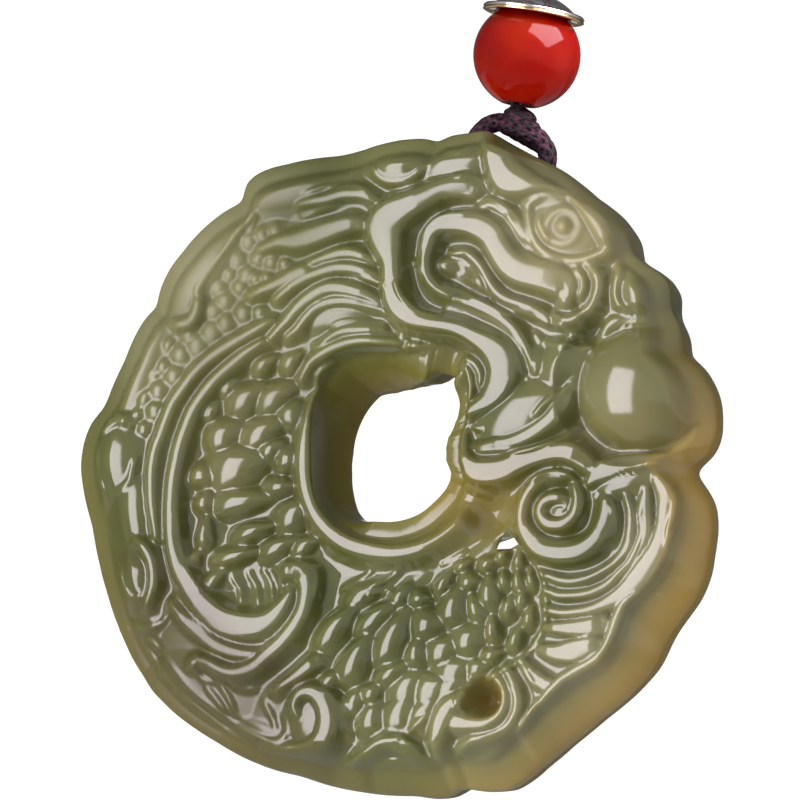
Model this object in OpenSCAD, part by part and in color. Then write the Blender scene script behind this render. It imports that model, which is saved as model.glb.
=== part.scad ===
// Jade ring pendant: a coiled dragon-fish on a braided cord with one bead.
// Millimetres, +Z up. The origin is the top of the cord's loop, where the pendant hangs.

/* [Stone] */
// Width of the stone
stone_w = 55; // [45:1:65]
// Thickness of the stone at its rim
stone_t = 9.5; // [8:0.5:12]
// Height of the carved strands over the ground
relief = 1.5; // [0.8:0.1:2]
// Lean of the stone on its cord, degrees
lean = 10; // [0:1:15]

/* [Cord hole] */
// Radius of the bore behind the top ridge
bore_r = 1.1; // [1:0.05:1.3]
// Depth of the bore under the ridge's edge
bore_depth = 3.2; // [3:0.1:4]
// Swing that the slots leave room for, degrees each way
swing = 15; // [5:1:18]

/* [Cord] */
// Radius of the cord's lower turn
cord_r = 0.8; // [0.6:0.05:0.85]
// Radius of each strand inside the bead
strand_r = 0.6; // [0.4:0.05:0.65]
// Height of the loop over the cap
loop_h = 11; // [8:1:20]

/* [Bead] */
// Diameter of the bead
bead_d = 9; // [7:0.5:10]
// Radius of the bead's bore
bead_bore_r = 1.4; // [1.35:0.05:1.7]
// Diameter of the metal cap
cap_d = 8.6; // [6:0.2:9.4]
// Thickness of the cap's metal
cap_t = 0.6; // [0.5:0.1:1]

/* [Hidden] */

drawn_w = 55;
k = stone_w / drawn_w;
half_t = stone_t / 2;
gap = 0.15;
$fn = 96;

jade = [0.50, 0.53, 0.32];
cord = [0.20, 0.10, 0.14];
red = [0.68, 0.08, 0.04];
silver = [0.80, 0.78, 0.74];

// The middle of the ridge's edge over the bore, and the ridge's fall to the right
ridge_x = 9.4 * k;
ridge_z = 25.8 * k;
ridge_fall = 28;
bore_y = 1.2;
mouth = 2.3;
slot_w = 2 * cord_r + 0.7;
slot_out = 8;
slot_half = cord_r + gap + bore_depth * sin(swing);

// Heights over the ridge's edge, on the cord's own upright line
neck_z = 3.1;
bead_z = neck_z + gap + bead_d / 2;
cap_rim_z = bead_z + 0.72 * bead_d / 2;
cap_bore_r = bead_bore_r + 0.2;
strand_x = 1.08 * strand_r;
loop_top = bead_z + bead_d / 2 + cap_t + loop_h;
ridge_off = 0.25;

// Stone outline, x and z on a stone of the drawn width, from the left round over the top
X = 0;
Z = 1;
W = 2;
outline = [
    [-27.8, 0.3], [-27.4, 2.8], [-26.8, 4.0], [-25.6, 5.1], [-24.6, 7.1], [-22.9, 10.6], [-21.9, 12.3],
    [-21.1, 13.2], [-21.0, 14.1], [-20.6, 15.3], [-19.0, 17.5], [-17.1, 19.4], [-15.6, 20.5], [-13.7, 21.4],
    [-13.3, 22.8], [-11.7, 24.0], [-9.1, 24.7], [-5.3, 25.0], [-3.0, 25.5], [0.1, 26.1], [2.1, 26.2],
    [3.7, 25.8], [3.8, 26.3], [6.5, 26.7], [8.0, 26.8], [9.5, 25.8], [12.0, 24.3], [14.4, 22.9], [16.8, 20.7],
    [18.8, 19.0], [20.0, 17.2], [20.1, 15.8], [21.5, 14.6], [23.2, 13.3], [23.4, 11.1], [24.4, 8.5],
    [24.4, 7.7], [25.8, 6.4], [27.0, 4.2], [27.2, 1.1], [26.4, -0.9], [25.0, -2.0], [26.1, -3.8],
    [26.9, -5.7], [26.8, -9.0], [26.1, -11.8], [24.4, -14.3], [22.1, -17.8], [20.5, -19.7], [18.3, -21.5],
    [15.4, -23.6], [12.9, -25.5], [10.7, -27.2], [9.2, -28.1], [7.3, -28.2], [4.8, -27.7], [4.4, -28.4],
    [2.8, -28.6], [0.7, -28.3], [-5.0, -27.7], [-8.8, -26.6], [-12.8, -25.2], [-16.8, -22.9], [-20.5, -20.0],
    [-22.9, -17.0], [-24.8, -12.9], [-25.6, -10.0], [-26.7, -5.8], [-27.5, -2.4]
];
hole = [
    [-5.5, 0.9], [-4.9, 3.3], [-3.3, 5.3], [-0.6, 5.6], [2.1, 6.2], [3.6, 7.0], [5.2, 6.6], [5.6, 5.3],
    [5.3, 2.5], [4.6, 0.3], [4.7, -1.0], [5.0, -2.0], [3.2, -4.4], [0.7, -5.8], [-0.8, -6.0], [-2.5, -5.7],
    [-4.0, -4.9], [-5.1, -3.6], [-5.6, -0.7]
];

// Width of the sloping edge between the face and the side, by the angle round the hole
edge_by_angle = [[-180, 1.4], [-100, 2], [-60, 3], [-35, 3], [-15, 1.6], [0, 1.3], [60, 1.4], [180, 1.4]];
// Side wall from the face down to the back: share of the edge's width, share of half the thickness
outer_wall = [[0.3, 0.45], [0, -0.35]];
inner_wall = [[0, 0.1]];
back_in = 1.2;
face_h = 3.1;

// Smooth swellings and hollows of the face: x, z, radius, height as a share of the relief
domes = [
    [22, 3.6, 6.2, 0.9], [22, -1.8, 3, -0.5], [15.4, 18, 3.4, 0.5], [11.5, 22.8, 4.2, 0.7],
    [0.6, 24.2, 2.6, 0.6], [10.8, 3, 4.2, 0.6], [15, -5.7, 4.6, 0.5], [8.4, -20.9, 2.2, -1.3],
    [-16, 15, 4, -0.5], [-20.5, 7, 3, -0.5], [-24.8, 1.4, 2.4, 0.6], [1, -15.5, 6, 0.5],
    [8, -13, 5, 0.5], [-13.5, 1, 5, 0.2], [-7, -22, 2.4, 0.4], [-23, -9.5, 2.2, 0.5],
    [22.5, 11.6, 2.6, 0.6], [15.2, 7, 2.4, 0.4], [-11.5, 22.3, 2.6, 0.5], [-5, 11.6, 2.6, 0.3],
    [0, -22.3, 2.6, -0.6], [6.5, 14.4, 2.6, -0.7]
];

// Carved strands: the height as a share of the relief, then x, z and half width of each point
strands = [
    [0.9, [[-3.6, 6.2, 0.5], [-5.6, 4.4, 0.8], [-7, 1.5, 0.9], [-7.2, -1.6, 0.9], [-6.1, -4.6, 1.2],
        [-4, -6.8, 1.4], [-1, -7.8, 1.6], [2, -7.2, 1.6], [4.2, -5.8, 1.4], [6, -4, 1]]],
    [1.0, [[7.2, 21.6, 0.9], [4.7, 21.7, 1.3], [1.8, 20.5, 1.6], [-0.1, 18.8, 2], [0.1, 16.6, 1.3],
        [0.4, 14.3, 1], [1, 12, 1.2], [3.3, 10.4, 0.9], [6.4, 9.8, 0.8], [8.8, 8.3, 1.1], [10.1, 6.4, 1.4],
        [9.4, 4.4, 1.2], [7.2, 3, 0.7]]],
    [1.0, [[5.2, 12.8, 0.5], [3.5, 14.6, 0.6], [3.5, 17, 0.7], [5, 18.6, 0.8], [8.2, 18.3, 1.4],
        [9.9, 16.4, 1.4], [11.6, 14.5, 1.6], [13.3, 13.9, 1.5], [15.5, 13.2, 1.5], [15.6, 12, 0.9]]],
    [0.7, [[17.3, 14.8, 0.6], [18.3, 13.2, 0.7], [17.6, 11.2, 0.7], [16, 10.2, 0.6], [13.2, 11.2, 0.5],
        [10.2, 12.6, 0.5], [8.6, 14.4, 0.5], [7, 16.1, 0.5]]],
    [0.7, [[12.2, 19.6, 0.6], [12.6, 17.2, 0.7], [14.2, 15.6, 0.7], [17.4, 15.1, 0.8], [20, 16, 0.9]]],
    [0.6, [[20.2, 14.6, 0.5], [19.8, 12.4, 0.6], [21, 10.6, 0.7], [23.4, 10, 0.8], [23.8, 12, 0.7]]],
    [0.8, [[7.6, 0.2, 0.5], [10.6, 0.2, 0.7], [13.3, 1.3, 0.9], [15.3, 3.4, 0.8], [16.6, 5.2, 0.5]]],
    [1.0, [[6.4, -0.4, 0.6], [7.5, -1.9, 1.2], [10, -1.9, 1.3], [13.3, -1, 1.1], [15.9, -0.9, 1.1],
        [17.6, -2.3, 0.8]]],
    [0.9, [[16.2, -3.8, 0.6], [16.3, -5.8, 0.7], [15, -6.8, 0.7], [13.5, -6.2, 0.7], [13.6, -5, 0.6],
        [15.4, -4.7, 0.5]]],
    [1.0, [[15.5, -2.7, 0.5], [13, -3.3, 0.7], [11.7, -5.4, 0.8], [12.2, -7.8, 0.9], [14.2, -9.1, 1.1],
        [16.8, -9, 1.2], [18.6, -7.4, 1.1], [19, -5.2, 0.9]]],
    [1.0, [[17.6, -3.4, 0.5], [19.3, -2.1, 1], [22.6, -1.7, 0.8], [25, -2.5, 0.8], [25.9, -4.7, 0.8],
        [25.6, -7.8, 0.8], [24.6, -11, 0.8], [22.8, -13, 0.9], [21, -14.2, 0.8], [20.4, -16.6, 0.8],
        [19, -18.8, 0.8], [15.6, -20.3, 0.8], [13.6, -22, 0.8], [11.4, -24.2, 0.8], [8, -25.8, 0.8],
        [5.2, -26.2, 0.5]]],
    [0.8, [[21.6, -4.4, 0.8], [21.6, -7.6, 0.9], [19.8, -10.6, 0.9], [17, -12, 0.9], [13.8, -11.6, 0.7]]],
    [0.8, [[23.6, -4.4, 0.7], [23.8, -7, 0.8], [22.6, -10.6, 0.8], [19.6, -13.6, 0.8], [16.6, -14.6, 0.8], [14, -14.4, 0.7]]],
    [0.8, [[13.4, -16.9, 0.8], [16, -17.5, 1], [18, -17.6, 1]]],
    [1.0, [[10, -19.6, 0.7], [10.3, -21.6, 0.7], [8.8, -22.9, 0.8], [6.2, -22.8, 1], [4.7, -23.4, 1.2],
        [4.3, -25.4, 0.7]]],
    [0.8, [[6.1, -20.8, 0.6], [5, -22, 1.2], [4.4, -23.4, 1.2]]],
    [0.9, [[10.2, -18.6, 0.5], [11, -21.2, 0.6], [10.2, -23.4, 0.6], [8, -24.4, 0.6], [5.8, -25.1, 0.5]]],
    [0.9, [[-10.8, 11.3, 0.5], [-13, 10.2, 0.7], [-16.2, 8.4, 0.7], [-18.4, 6.1, 0.8], [-20, 3.6, 0.8],
        [-21, 0.8, 0.8], [-21.2, -3, 0.8], [-21, -6, 0.6]]],
    [1.0, [[-11.6, 9.5, 0.5], [-15, 7, 0.8], [-17.6, 3.8, 0.9], [-18.9, 0, 0.9], [-19.4, -4.8, 0.9],
        [-18.6, -9, 1], [-16.4, -12.4, 1.3], [-13.3, -14.1, 1.5], [-10.6, -13.8, 1.2], [-9, -12, 0.6]]],
    [0.8, [[-19.4, -12, 0.6], [-17, -14.4, 0.8], [-14, -16.1, 0.9], [-11.2, -16.2, 0.6]]],
    [1.0, [[-8.6, -9.7, 1], [-7.4, -10.6, 1], [-7.4, -12.4, 0.8], [-8.4, -14.6, 0.9], [-10.6, -16.6, 0.9],
        [-13.5, -18, 0.7], [-16.8, -16.8, 0.5]]],
    [0.8, [[-8.2, -21.4, 0.6], [-7.8, -20, 0.7], [-6.2, -20.1, 0.9], [-5.4, -22, 1.3], [-6.4, -24.2, 1.2],
        [-8.6, -24.9, 0.9], [-11.4, -24.7, 0.6]]],
    [0.8, [[-4.8, -26.5, 0.5], [-2, -25, 0.7], [0.2, -24.4, 0.8], [1.8, -25.6, 0.7]]],
    [0.7, [[-9.8, -19.4, 0.5], [-8, -18.2, 0.8], [-6.6, -17.4, 0.9]]],
    [0.8, [[-22.6, -6.6, 0.5], [-21.3, -8.2, 0.8], [-21.2, -10.6, 0.7], [-22, -12.2, 0.5]]],
    [0.8, [[-17.2, 13.6, 0.5], [-17.6, 12, 0.6], [-19.2, 11.8, 0.7]]],
    [0.7, [[-12.9, 20.5, 0.5], [-15.6, 17, 0.9], [-17.3, 13.8, 0.6]]],
    [0.8, [[-8.1, 21.3, 0.5], [-4.2, 21.9, 0.8], [-1.4, 21.2, 0.5]]],
    [1.0, [[-11.3, 17.7, 0.4], [-8.4, 18.1, 1.1], [-5, 18.9, 1.2], [-2.4, 19.2, 0.8]]],
    [0.8, [[-12.2, 14, 0.5], [-8.2, 15.4, 1], [-4.4, 16.6, 0.8], [-1.8, 16.1, 0.5]]],
    [1.0, [[-10.6, 10, 0.4], [-8, 12.2, 0.8], [-5, 13.8, 0.9], [-1.2, 12.6, 0.6]]],
    [0.8, [[-8.2, 6.6, 0.5], [-6.6, 8.2, 0.7], [-3.6, 9.4, 0.8], [0.2, 9.2, 0.5]]]
];

// Scales of the body and of the belly: x, z, half length, half width, angle
scales = [
    [-5, -14.7, 2.4, 1.4, 47], [-1.2, -13.7, 2.2, 1.3, 35], [0, -16.2, 2.2, 1.4, 60], [-3.2, -17.8, 2.2, 1.4, 58],
    [3.2, -14.8, 1.8, 1.6, 0], [5.6, -12.8, 1.9, 1.4, 70], [8.6, -12.6, 1.9, 1.3, 90], [6.6, -16, 1.8, 1.6, 0],
    [11.2, -12.6, 1.7, 1.2, 90], [10.4, -16, 1.8, 1.2, 70], [-13, 5, 2, 1.4, 30], [-15.4, 2, 1.9, 1.4, 30],
    [-13.4, -0.8, 2.2, 1.7, 30], [-11.4, 2.2, 1.8, 1.3, 30], [-10.2, 5.4, 1.8, 1.3, 30],
    [-15.6, -4.2, 1.9, 1.4, 30], [-12.4, -6.6, 2, 1.4, 20], [-10, -3.6, 1.8, 1.4, 40]
];

// Nearest distance to one leg of a strand, and the strand's half width there
function leg(p, a, b) =
    let (ab = [b[X] - a[X], b[Z] - a[Z]], ap = [p[X] - a[X], p[Z] - a[Z]],
         t = max(0, min(1, (ap * ab) / (ab * ab))))
    norm(ap - ab * t) / max(narrowest, a[W] + (b[W] - a[W]) * t);

function swell(d) = d >= 1 ? 0 : (1 - d * d) * (1 - d * d);

reach = 1.7;
narrowest = 0.75;
boxes = [for (s = strands) [
    min([for (q = s[1]) q[X] - reach * (q[W] + 0.3)]), max([for (q = s[1]) q[X] + reach * (q[W] + 0.3)]),
    min([for (q = s[1]) q[Z] - reach * (q[W] + 0.3)]), max([for (q = s[1]) q[Z] + reach * (q[W] + 0.3)])]];

function strand_h(p, i) =
    p[X] < boxes[i][0] || p[X] > boxes[i][1] || p[Z] < boxes[i][2] || p[Z] > boxes[i][3] ? 0 :
    strands[i][0] * max([for (j = [0 : len(strands[i][1]) - 2])
        swell(leg(p, strands[i][1][j], strands[i][1][j + 1]) / reach)]);

function scale_h(p, s) =
    let (dx = p[X] - s[0], dz = p[Z] - s[1])
    abs(dx) + abs(dz) > 4 ? 0 :
    0.5 * swell(norm([(dx * cos(s[4]) + dz * sin(s[4])) / s[2], (dz * cos(s[4]) - dx * sin(s[4])) / s[3]]) / 1.2);

function face(p) =
    face_h * stone_t / 9.5
    + relief * (max([for (i = [0 : len(strands) - 1]) strand_h(p, i)])
        + max([for (s = scales) scale_h(p, s)]))
    + relief * dome_sum(p);

function dome_sum(p, i = 0) = i >= len(domes) ? 0 :
    domes[i][3] * swell(norm([p[X] - domes[i][0], p[Z] - domes[i][1]]) / domes[i][2]) + dome_sum(p, i + 1);

// Radius of a closed outline at an angle, from its corners
function polar(points) =
    let (base = [for (p = points) [atan2(p[Z], p[X]), norm([p[X], p[Z]])]])
    concat([for (q = base) [q[0] - 360, q[1]]], base, [for (q = base) [q[0] + 360, q[1]]]);
outer_r = polar(outline);
hole_r = polar(hole);

// One section of the ring at an angle: x, y, z of each point, from the hole over the face,
// down the side, across the back and up the hole's wall
rounds = 192;
across = 21;
function section(a) =
    let (ro = lookup(a, outer_r), ri = lookup(a, hole_r), e = lookup(a, edge_by_angle),
         ei = 1, f0 = ri + ei, f1 = ro - e)
    concat(
        [for (j = [0 : across])
            let (r = f0 + (f1 - f0) * j / across, p = [r * cos(a), r * sin(a)],
                 fade = min(1, 0.75 + j / 8, 0.55 + (across - j) / 5))
            [p[X] * k, -face(p) * fade, p[Z] * k]],
        [for (w = outer_wall) [(ro - e * w[0]) * cos(a) * k, -half_t * w[1], (ro - e * w[0]) * sin(a) * k]],
        [[(ro - back_in) * cos(a) * k, half_t, (ro - back_in) * sin(a) * k],
         [(ri + ei) * cos(a) * k, half_t, (ri + ei) * sin(a) * k]],
        [for (i = [len(inner_wall) - 1 : -1 : 0])
            [(ri + ei * inner_wall[i][0]) * cos(a) * k, -half_t * inner_wall[i][1],
             (ri + ei * inner_wall[i][0]) * sin(a) * k]]
    );

// Closed skin over a ring of closed sections
module ring_skin(sections) {
    n = len(sections);
    m = len(sections[0]);
    polyhedron(
        points = [for (s = sections) for (p = s) p],
        faces = [for (i = [0 : n - 1]) for (j = [0 : m - 1])
            let (a = i * m + j, b = i * m + (j + 1) % m, c = ((i + 1) % n) * m + (j + 1) % m,
                 d = ((i + 1) % n) * m + j)
            for (f = [[a, b, c], [a, c, d]]) f],
        convexity = 10
    );
}

// Tube along a route of x, z points, with a flat end at each side
sides = 8;
function along(route, i) =
    let (a = route[max(i - 1, 0)], b = route[min(i + 1, len(route) - 1)])
    [b[X] - a[X], b[Z] - a[Z]] / norm([b[X] - a[X], b[Z] - a[Z]]);

module tube(route, r) {
    n = len(route);
    last = (n - 1) * sides;
    polyhedron(
        points = [for (i = [0 : n - 1]) let (t = along(route, i)) for (j = [0 : sides - 1])
            let (a = 360 * (j + 0.5) / sides)
            [route[i][X] - t[1] * r * cos(a), r * sin(a), route[i][Z] + t[0] * r * cos(a)]],
        faces = concat(
            [[for (j = [sides - 1 : -1 : 0]) j]],
            [for (i = [0 : n - 2]) for (j = [0 : sides - 1])
                let (a = i * sides + j, b = i * sides + (j + 1) % sides)
                for (f = [[a, b, b + sides], [a, b + sides, a + sides]]) f],
            [[for (j = [0 : sides - 1]) last + j]]
        )
    );
}

// Route through hand-set points, rounded between them
function rounded(points, steps = 3) =
    let (n = len(points) - 1)
    concat([for (i = [0 : n - 1]) for (j = [0 : steps - 1])
        let (t = j / steps, a = points[max(i - 1, 0)], b = points[i], c = points[i + 1], d = points[min(i + 2, n)])
        0.5 * (2 * b + (c - a) * t + (2 * a - 5 * b + 4 * c - d) * t * t + (3 * b - a - 3 * c + d) * t * t * t)],
        [points[n]]);

function mirrored(points) = concat(points, [for (i = [len(points) - 1 : -1 : 0]) [-points[i][X], points[i][Z]]]);

// The lower turn, in the frame of the bore: up out of each slot and in towards the knot
foot = mouth + slot_w / 2;
bight_route = rounded(mirrored([
    [-foot + 1.4 * cord_r, bore_depth + 2 * cord_r], [-foot + 0.5 * cord_r, bore_depth + 0.75 * cord_r],
    [-foot, bore_depth - cord_r], [-foot + 0.2 * cord_r, 1.25 * cord_r], [-foot + 0.9 * cord_r, 0.2 * cord_r],
    [-mouth + 0.4 * cord_r, 0], [-cord_r, 0]]));

// The knot's sections over the ridge's edge, in cord radii: height, centre, half width, half depth
knot_sections = cord_r * [
    [0.69, 0, 1.88, 1.25], [0.94, 0, 2.06, 1.63], [1.63, 0, 1.75, 2], [2.13, -0.13, 1.44, 2],
    [2.81, -0.56, 1.63, 1.88], [3.69, -1.2, 1.31, 1.38]
];

// The loop, over the ridge's edge: the strands lie together in the bead and part over the cap
loop_route = rounded(mirrored([
    [-strand_x, bead_z - bead_d / 2 + 2 * gap], [-strand_x, bead_z], [-strand_x, bead_z + bead_d / 2],
    [-strand_x, loop_top - 0.93 * loop_h], [-0.2 * loop_h, loop_top - 0.62 * loop_h],
    [-0.26 * loop_h, loop_top - 0.3 * loop_h], [-0.16 * loop_h, loop_top - 0.02 * loop_h],
    [-0.65 * strand_r, loop_top + strand_r]]));

// Frames: the ridge's edge over the bore, the same on the hanging part, and the cord's line
module on_ridge(fall) {
    rotate([0, fall, 0]) children();
}

module hung() {
    translate([0, 0, -loop_top]) children();
}

module stone_place() {
    hung() translate([ridge_off, 0, 0]) rotate([0, -lean, 0]) translate([-ridge_x, -bore_y, -ridge_z]) children();
}

module cord_hole() {
    translate([ridge_x, bore_y, ridge_z]) on_ridge(ridge_fall) translate([0, 0, -bore_depth]) {
        rotate([0, 90, 0]) cylinder(h = 2 * mouth + slot_w, r = bore_r, center = true);
        for (s = [-1, 1])
            translate([s * foot - slot_w / 2, -slot_half, -bore_r]) cube([slot_w, 2 * slot_half, slot_out]);
    }
}

// Small opening between the nose curl and the body
pierce = [[10, -7], [11, -8.4], [9.2, -8.4]];

module pierced_gap() {
    translate([0, stone_t, 0]) rotate([90, 0, 0]) linear_extrude(2 * stone_t) polygon(k * pierce);
}

module jade_carving() {
    color(jade)
    stone_place()
    difference() {
        ring_skin([for (i = [0 : rounds - 1]) section(-180 + 360 * i / rounds)]);
        cord_hole();
        pierced_gap();
    }
}

module cord_bight() {
    color(cord)
    hung() translate([ridge_off, 0, 0]) on_ridge(ridge_fall - lean) translate([0, 0, -bore_depth])
        tube(bight_route, cord_r);
}

module cord_knot() {
    knot_sides = 16;
    n = len(knot_sections);
    color(cord)
    hung() translate([ridge_off, 0, 0]) on_ridge(ridge_fall - lean)
    polyhedron(
        points = [for (s = knot_sections) for (j = [0 : knot_sides - 1])
            let (a = 360 * j / knot_sides)
            [s[1] + s[2] * cos(a), s[3] * sin(a), s[0]]],
        faces = concat(
            [[for (j = [0 : knot_sides - 1]) j]],
            [for (i = [0 : n - 2]) for (j = [0 : knot_sides - 1])
                let (a = i * knot_sides + j, b = i * knot_sides + (j + 1) % knot_sides)
                for (f = [[a, b + knot_sides, b], [a, a + knot_sides, b + knot_sides]]) f],
            [[for (j = [knot_sides - 1 : -1 : 0]) (n - 1) * knot_sides + j]]
        )
    );
}

module red_bead() {
    color(red)
    hung() translate([0, 0, bead_z]) difference() {
        sphere(d = bead_d);
        cylinder(h = 2 * bead_d, r = bead_bore_r, center = true);
    }
}

module bead_cap() {
    dome_r = bead_d / 2 + gap;
    color(silver)
    hung() difference() {
        union() {
            translate([0, 0, cap_rim_z]) cylinder(h = cap_t, d = cap_d);
            translate([0, 0, bead_z]) sphere(r = dome_r + cap_t);
        }
        translate([0, 0, bead_z]) sphere(r = dome_r);
        translate([0, 0, bead_z - bead_d]) cylinder(h = bead_d + cap_rim_z - bead_z, r = bead_d);
        translate([0, 0, bead_z]) cylinder(h = bead_d, r = cap_bore_r);
    }
}

module cord_loop() {
    color(cord)
    hung() tube(loop_route, strand_r);
}

jade_carving();
cord_bight();
cord_knot();
red_bead();
bead_cap();
cord_loop();
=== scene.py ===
"""Dresses the jade ring pendant: carved stone, braided cord, red bead and metal cap."""

import logging
import math
from dataclasses import dataclass, field
from enum import Enum

import bmesh
import bpy
import numpy as np
from mathutils import Matrix, Vector


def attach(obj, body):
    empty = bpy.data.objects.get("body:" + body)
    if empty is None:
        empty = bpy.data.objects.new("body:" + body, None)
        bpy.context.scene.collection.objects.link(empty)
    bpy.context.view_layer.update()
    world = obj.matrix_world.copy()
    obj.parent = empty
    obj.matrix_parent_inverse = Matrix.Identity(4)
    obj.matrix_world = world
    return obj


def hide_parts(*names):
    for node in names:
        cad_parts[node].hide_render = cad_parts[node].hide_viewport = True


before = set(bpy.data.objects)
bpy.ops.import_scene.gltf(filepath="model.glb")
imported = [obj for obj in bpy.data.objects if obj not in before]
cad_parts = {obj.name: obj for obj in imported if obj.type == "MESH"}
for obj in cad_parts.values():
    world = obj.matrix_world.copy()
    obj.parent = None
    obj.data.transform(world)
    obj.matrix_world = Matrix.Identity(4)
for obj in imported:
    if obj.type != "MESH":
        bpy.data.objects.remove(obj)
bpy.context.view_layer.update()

LOG = logging.getLogger("pendant")
MM = 0.001

Point = tuple[float, float]
Triple = tuple[float, float, float]
Colour = tuple[float, float, float]
Table = tuple[Point, ...]
Scale = tuple[float, float, float, float, float, float]
Array = np.ndarray
Tree = bpy.types.NodeTree
Socket = bpy.types.NodeSocket
Node = bpy.types.Node
Object = bpy.types.Object
Material = bpy.types.Material
Mesh = bpy.types.Mesh
Value = Socket | bpy.types.ID | str | float | tuple[float, ...]


class Body(str, Enum):
    """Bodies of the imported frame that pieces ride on."""

    CORD = "cord"
    STONE = "stone"


class Slot(str, Enum):
    """Material slots of the record."""

    JADE = "jade"
    CORD = "cord"
    BEAD = "bead"
    CAP = "cap"


@dataclass(frozen=True)
class Hang:
    """Where the stone hangs on its cord, as in the part's source. Lengths are in mm, angles in degrees.

    Attributes:
        lean: The stone's turn about the depth axis.
        ridge_x: Middle of the ridge's edge over the bore, to the right of the hole's middle.
        ridge_z: The same point's height over the hole's middle.
        ridge_fall: How steeply the ridge's edge falls to the right.
        ridge_off: How far that point lies beside the cord's upright line.
        bore_y: How far the bore lies behind the stone's middle plane.
        bore_depth: How far the bore lies under the ridge's edge.
        bore_r: The bore's radius.
        foot: Distance from the bore's middle to each slot's.
        neck_z: Height of the knot's top over the ridge's edge.
        gap: Room between the bead and the pieces beside it.
        bead_d: The bead's diameter.
        cap_t: The cap's thickness.
        loop_h: Height of the free loop over the cap.
    """

    lean: float = 10.0
    ridge_x: float = 9.4
    ridge_z: float = 25.8
    ridge_fall: float = 28.0
    ridge_off: float = 0.25
    bore_y: float = 1.2
    bore_depth: float = 3.2
    bore_r: float = 1.1
    foot: float = 3.45
    neck_z: float = 3.1
    gap: float = 0.15
    bead_d: float = 9.0
    cap_t: float = 0.6
    loop_h: float = 11.0

    @property
    def bead_z(self) -> float:
        """Height of the bead's centre over the ridge's edge."""
        return self.neck_z + self.gap + self.bead_d / 2

    @property
    def loop_top(self) -> float:
        """Height of the loop's underside over the ridge's edge."""
        return self.bead_z + self.bead_d / 2 + self.cap_t + self.loop_h

    def _ridge_matrix(self, turn: float) -> Matrix:
        """A frame at the middle of the ridge's edge, turned by some degrees, to the row frame."""
        place = Matrix.Translation((self.ridge_off, 0, -self.loop_top))
        return Matrix.Scale(MM, 4) @ place @ Matrix.Rotation(math.radians(turn), 4, "Y")

    def stone_matrix(self) -> Matrix:
        """Carving's frame (x right, y back, z up, mm) to the row frame, in metres."""
        back = Matrix.Translation((-self.ridge_x, -self.bore_y, -self.ridge_z))
        return self._ridge_matrix(-self.lean) @ back

    def edge_matrix(self) -> Matrix:
        """The ridge's edge over the bore, +x along it and +z out of it, to the row frame."""
        return self._ridge_matrix(self.ridge_fall - self.lean)

    def line_matrix(self) -> Matrix:
        """The cord's upright line, from the ridge's edge, to the row frame."""
        return Matrix.Scale(MM, 4) @ Matrix.Translation((0, 0, -self.loop_top))


HANG = Hang()


def turned(x: Array, z: Array, middle: Point, degrees: float) -> tuple[Array, Array]:
    """Points seen from a middle, along and across a turned line.

    Args:
        x: Points to the right of the hole's middle, mm.
        z: Points above it, mm.
        middle: The new middle's x and z, mm.
        degrees: Turn of the line.

    Returns:
        Distances along the line and across it, mm.
    """
    c, s = math.cos(math.radians(degrees)), math.sin(math.radians(degrees))
    dx, dz = x - middle[0], z - middle[1]
    return dx * c + dz * s, dz * c - dx * s


@dataclass(frozen=True)
class Strand:
    """A carved strand: a rounded ridge along a route.

    Attributes:
        height: Height of its crest over the ground, mm.
        route: Points of x, z and the width of the crest's polished flat, mm.
        slope: How wide its sides spread, as a share of the usual.
    """

    height: float
    route: tuple[Triple, ...]
    slope: float = 1.0


@dataclass(frozen=True)
class Dome:
    """A smooth oval swelling or hollow.

    Attributes:
        x: Its middle, to the right of the hole's middle, mm.
        z: Its middle, above the hole's middle, mm.
        rx: Half its length, mm.
        rz: Half its width, mm.
        turn: Turn of its length, degrees.
        height: Its height or depth, mm.
        flat: How flat its top is.
    """

    x: float
    z: float
    rx: float
    rz: float
    turn: float
    height: float
    flat: float = 1.0

    def radius(self, x: Array, z: Array) -> Array:
        """Distance of points from the oval's middle, as a share of its own size."""
        along, across = turned(x, z, (self.x, self.z), self.turn)
        return np.hypot(along / self.rx, across / self.rz)


@dataclass(frozen=True)
class Ball:
    """A ball set in the face.

    Attributes:
        x: Its middle, to the right of the hole's middle, mm.
        z: Its middle, above the hole's middle, mm.
        radius: Its radius, mm.
        level: Height of its middle over the stone's middle plane, mm.
        under: How far below its middle its height is taken outside it, mm.
    """

    x: float
    z: float
    radius: float
    level: float
    under: float = 9.0

    def height(self, x: Array, z: Array) -> Array:
        """Height of the ball at each point, far below the face outside it."""
        room = self.radius ** 2 - (x - self.x) ** 2 - (z - self.z) ** 2
        return self.level + np.sqrt(np.maximum(room, 0)) - self.under * (room < 0)


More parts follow.
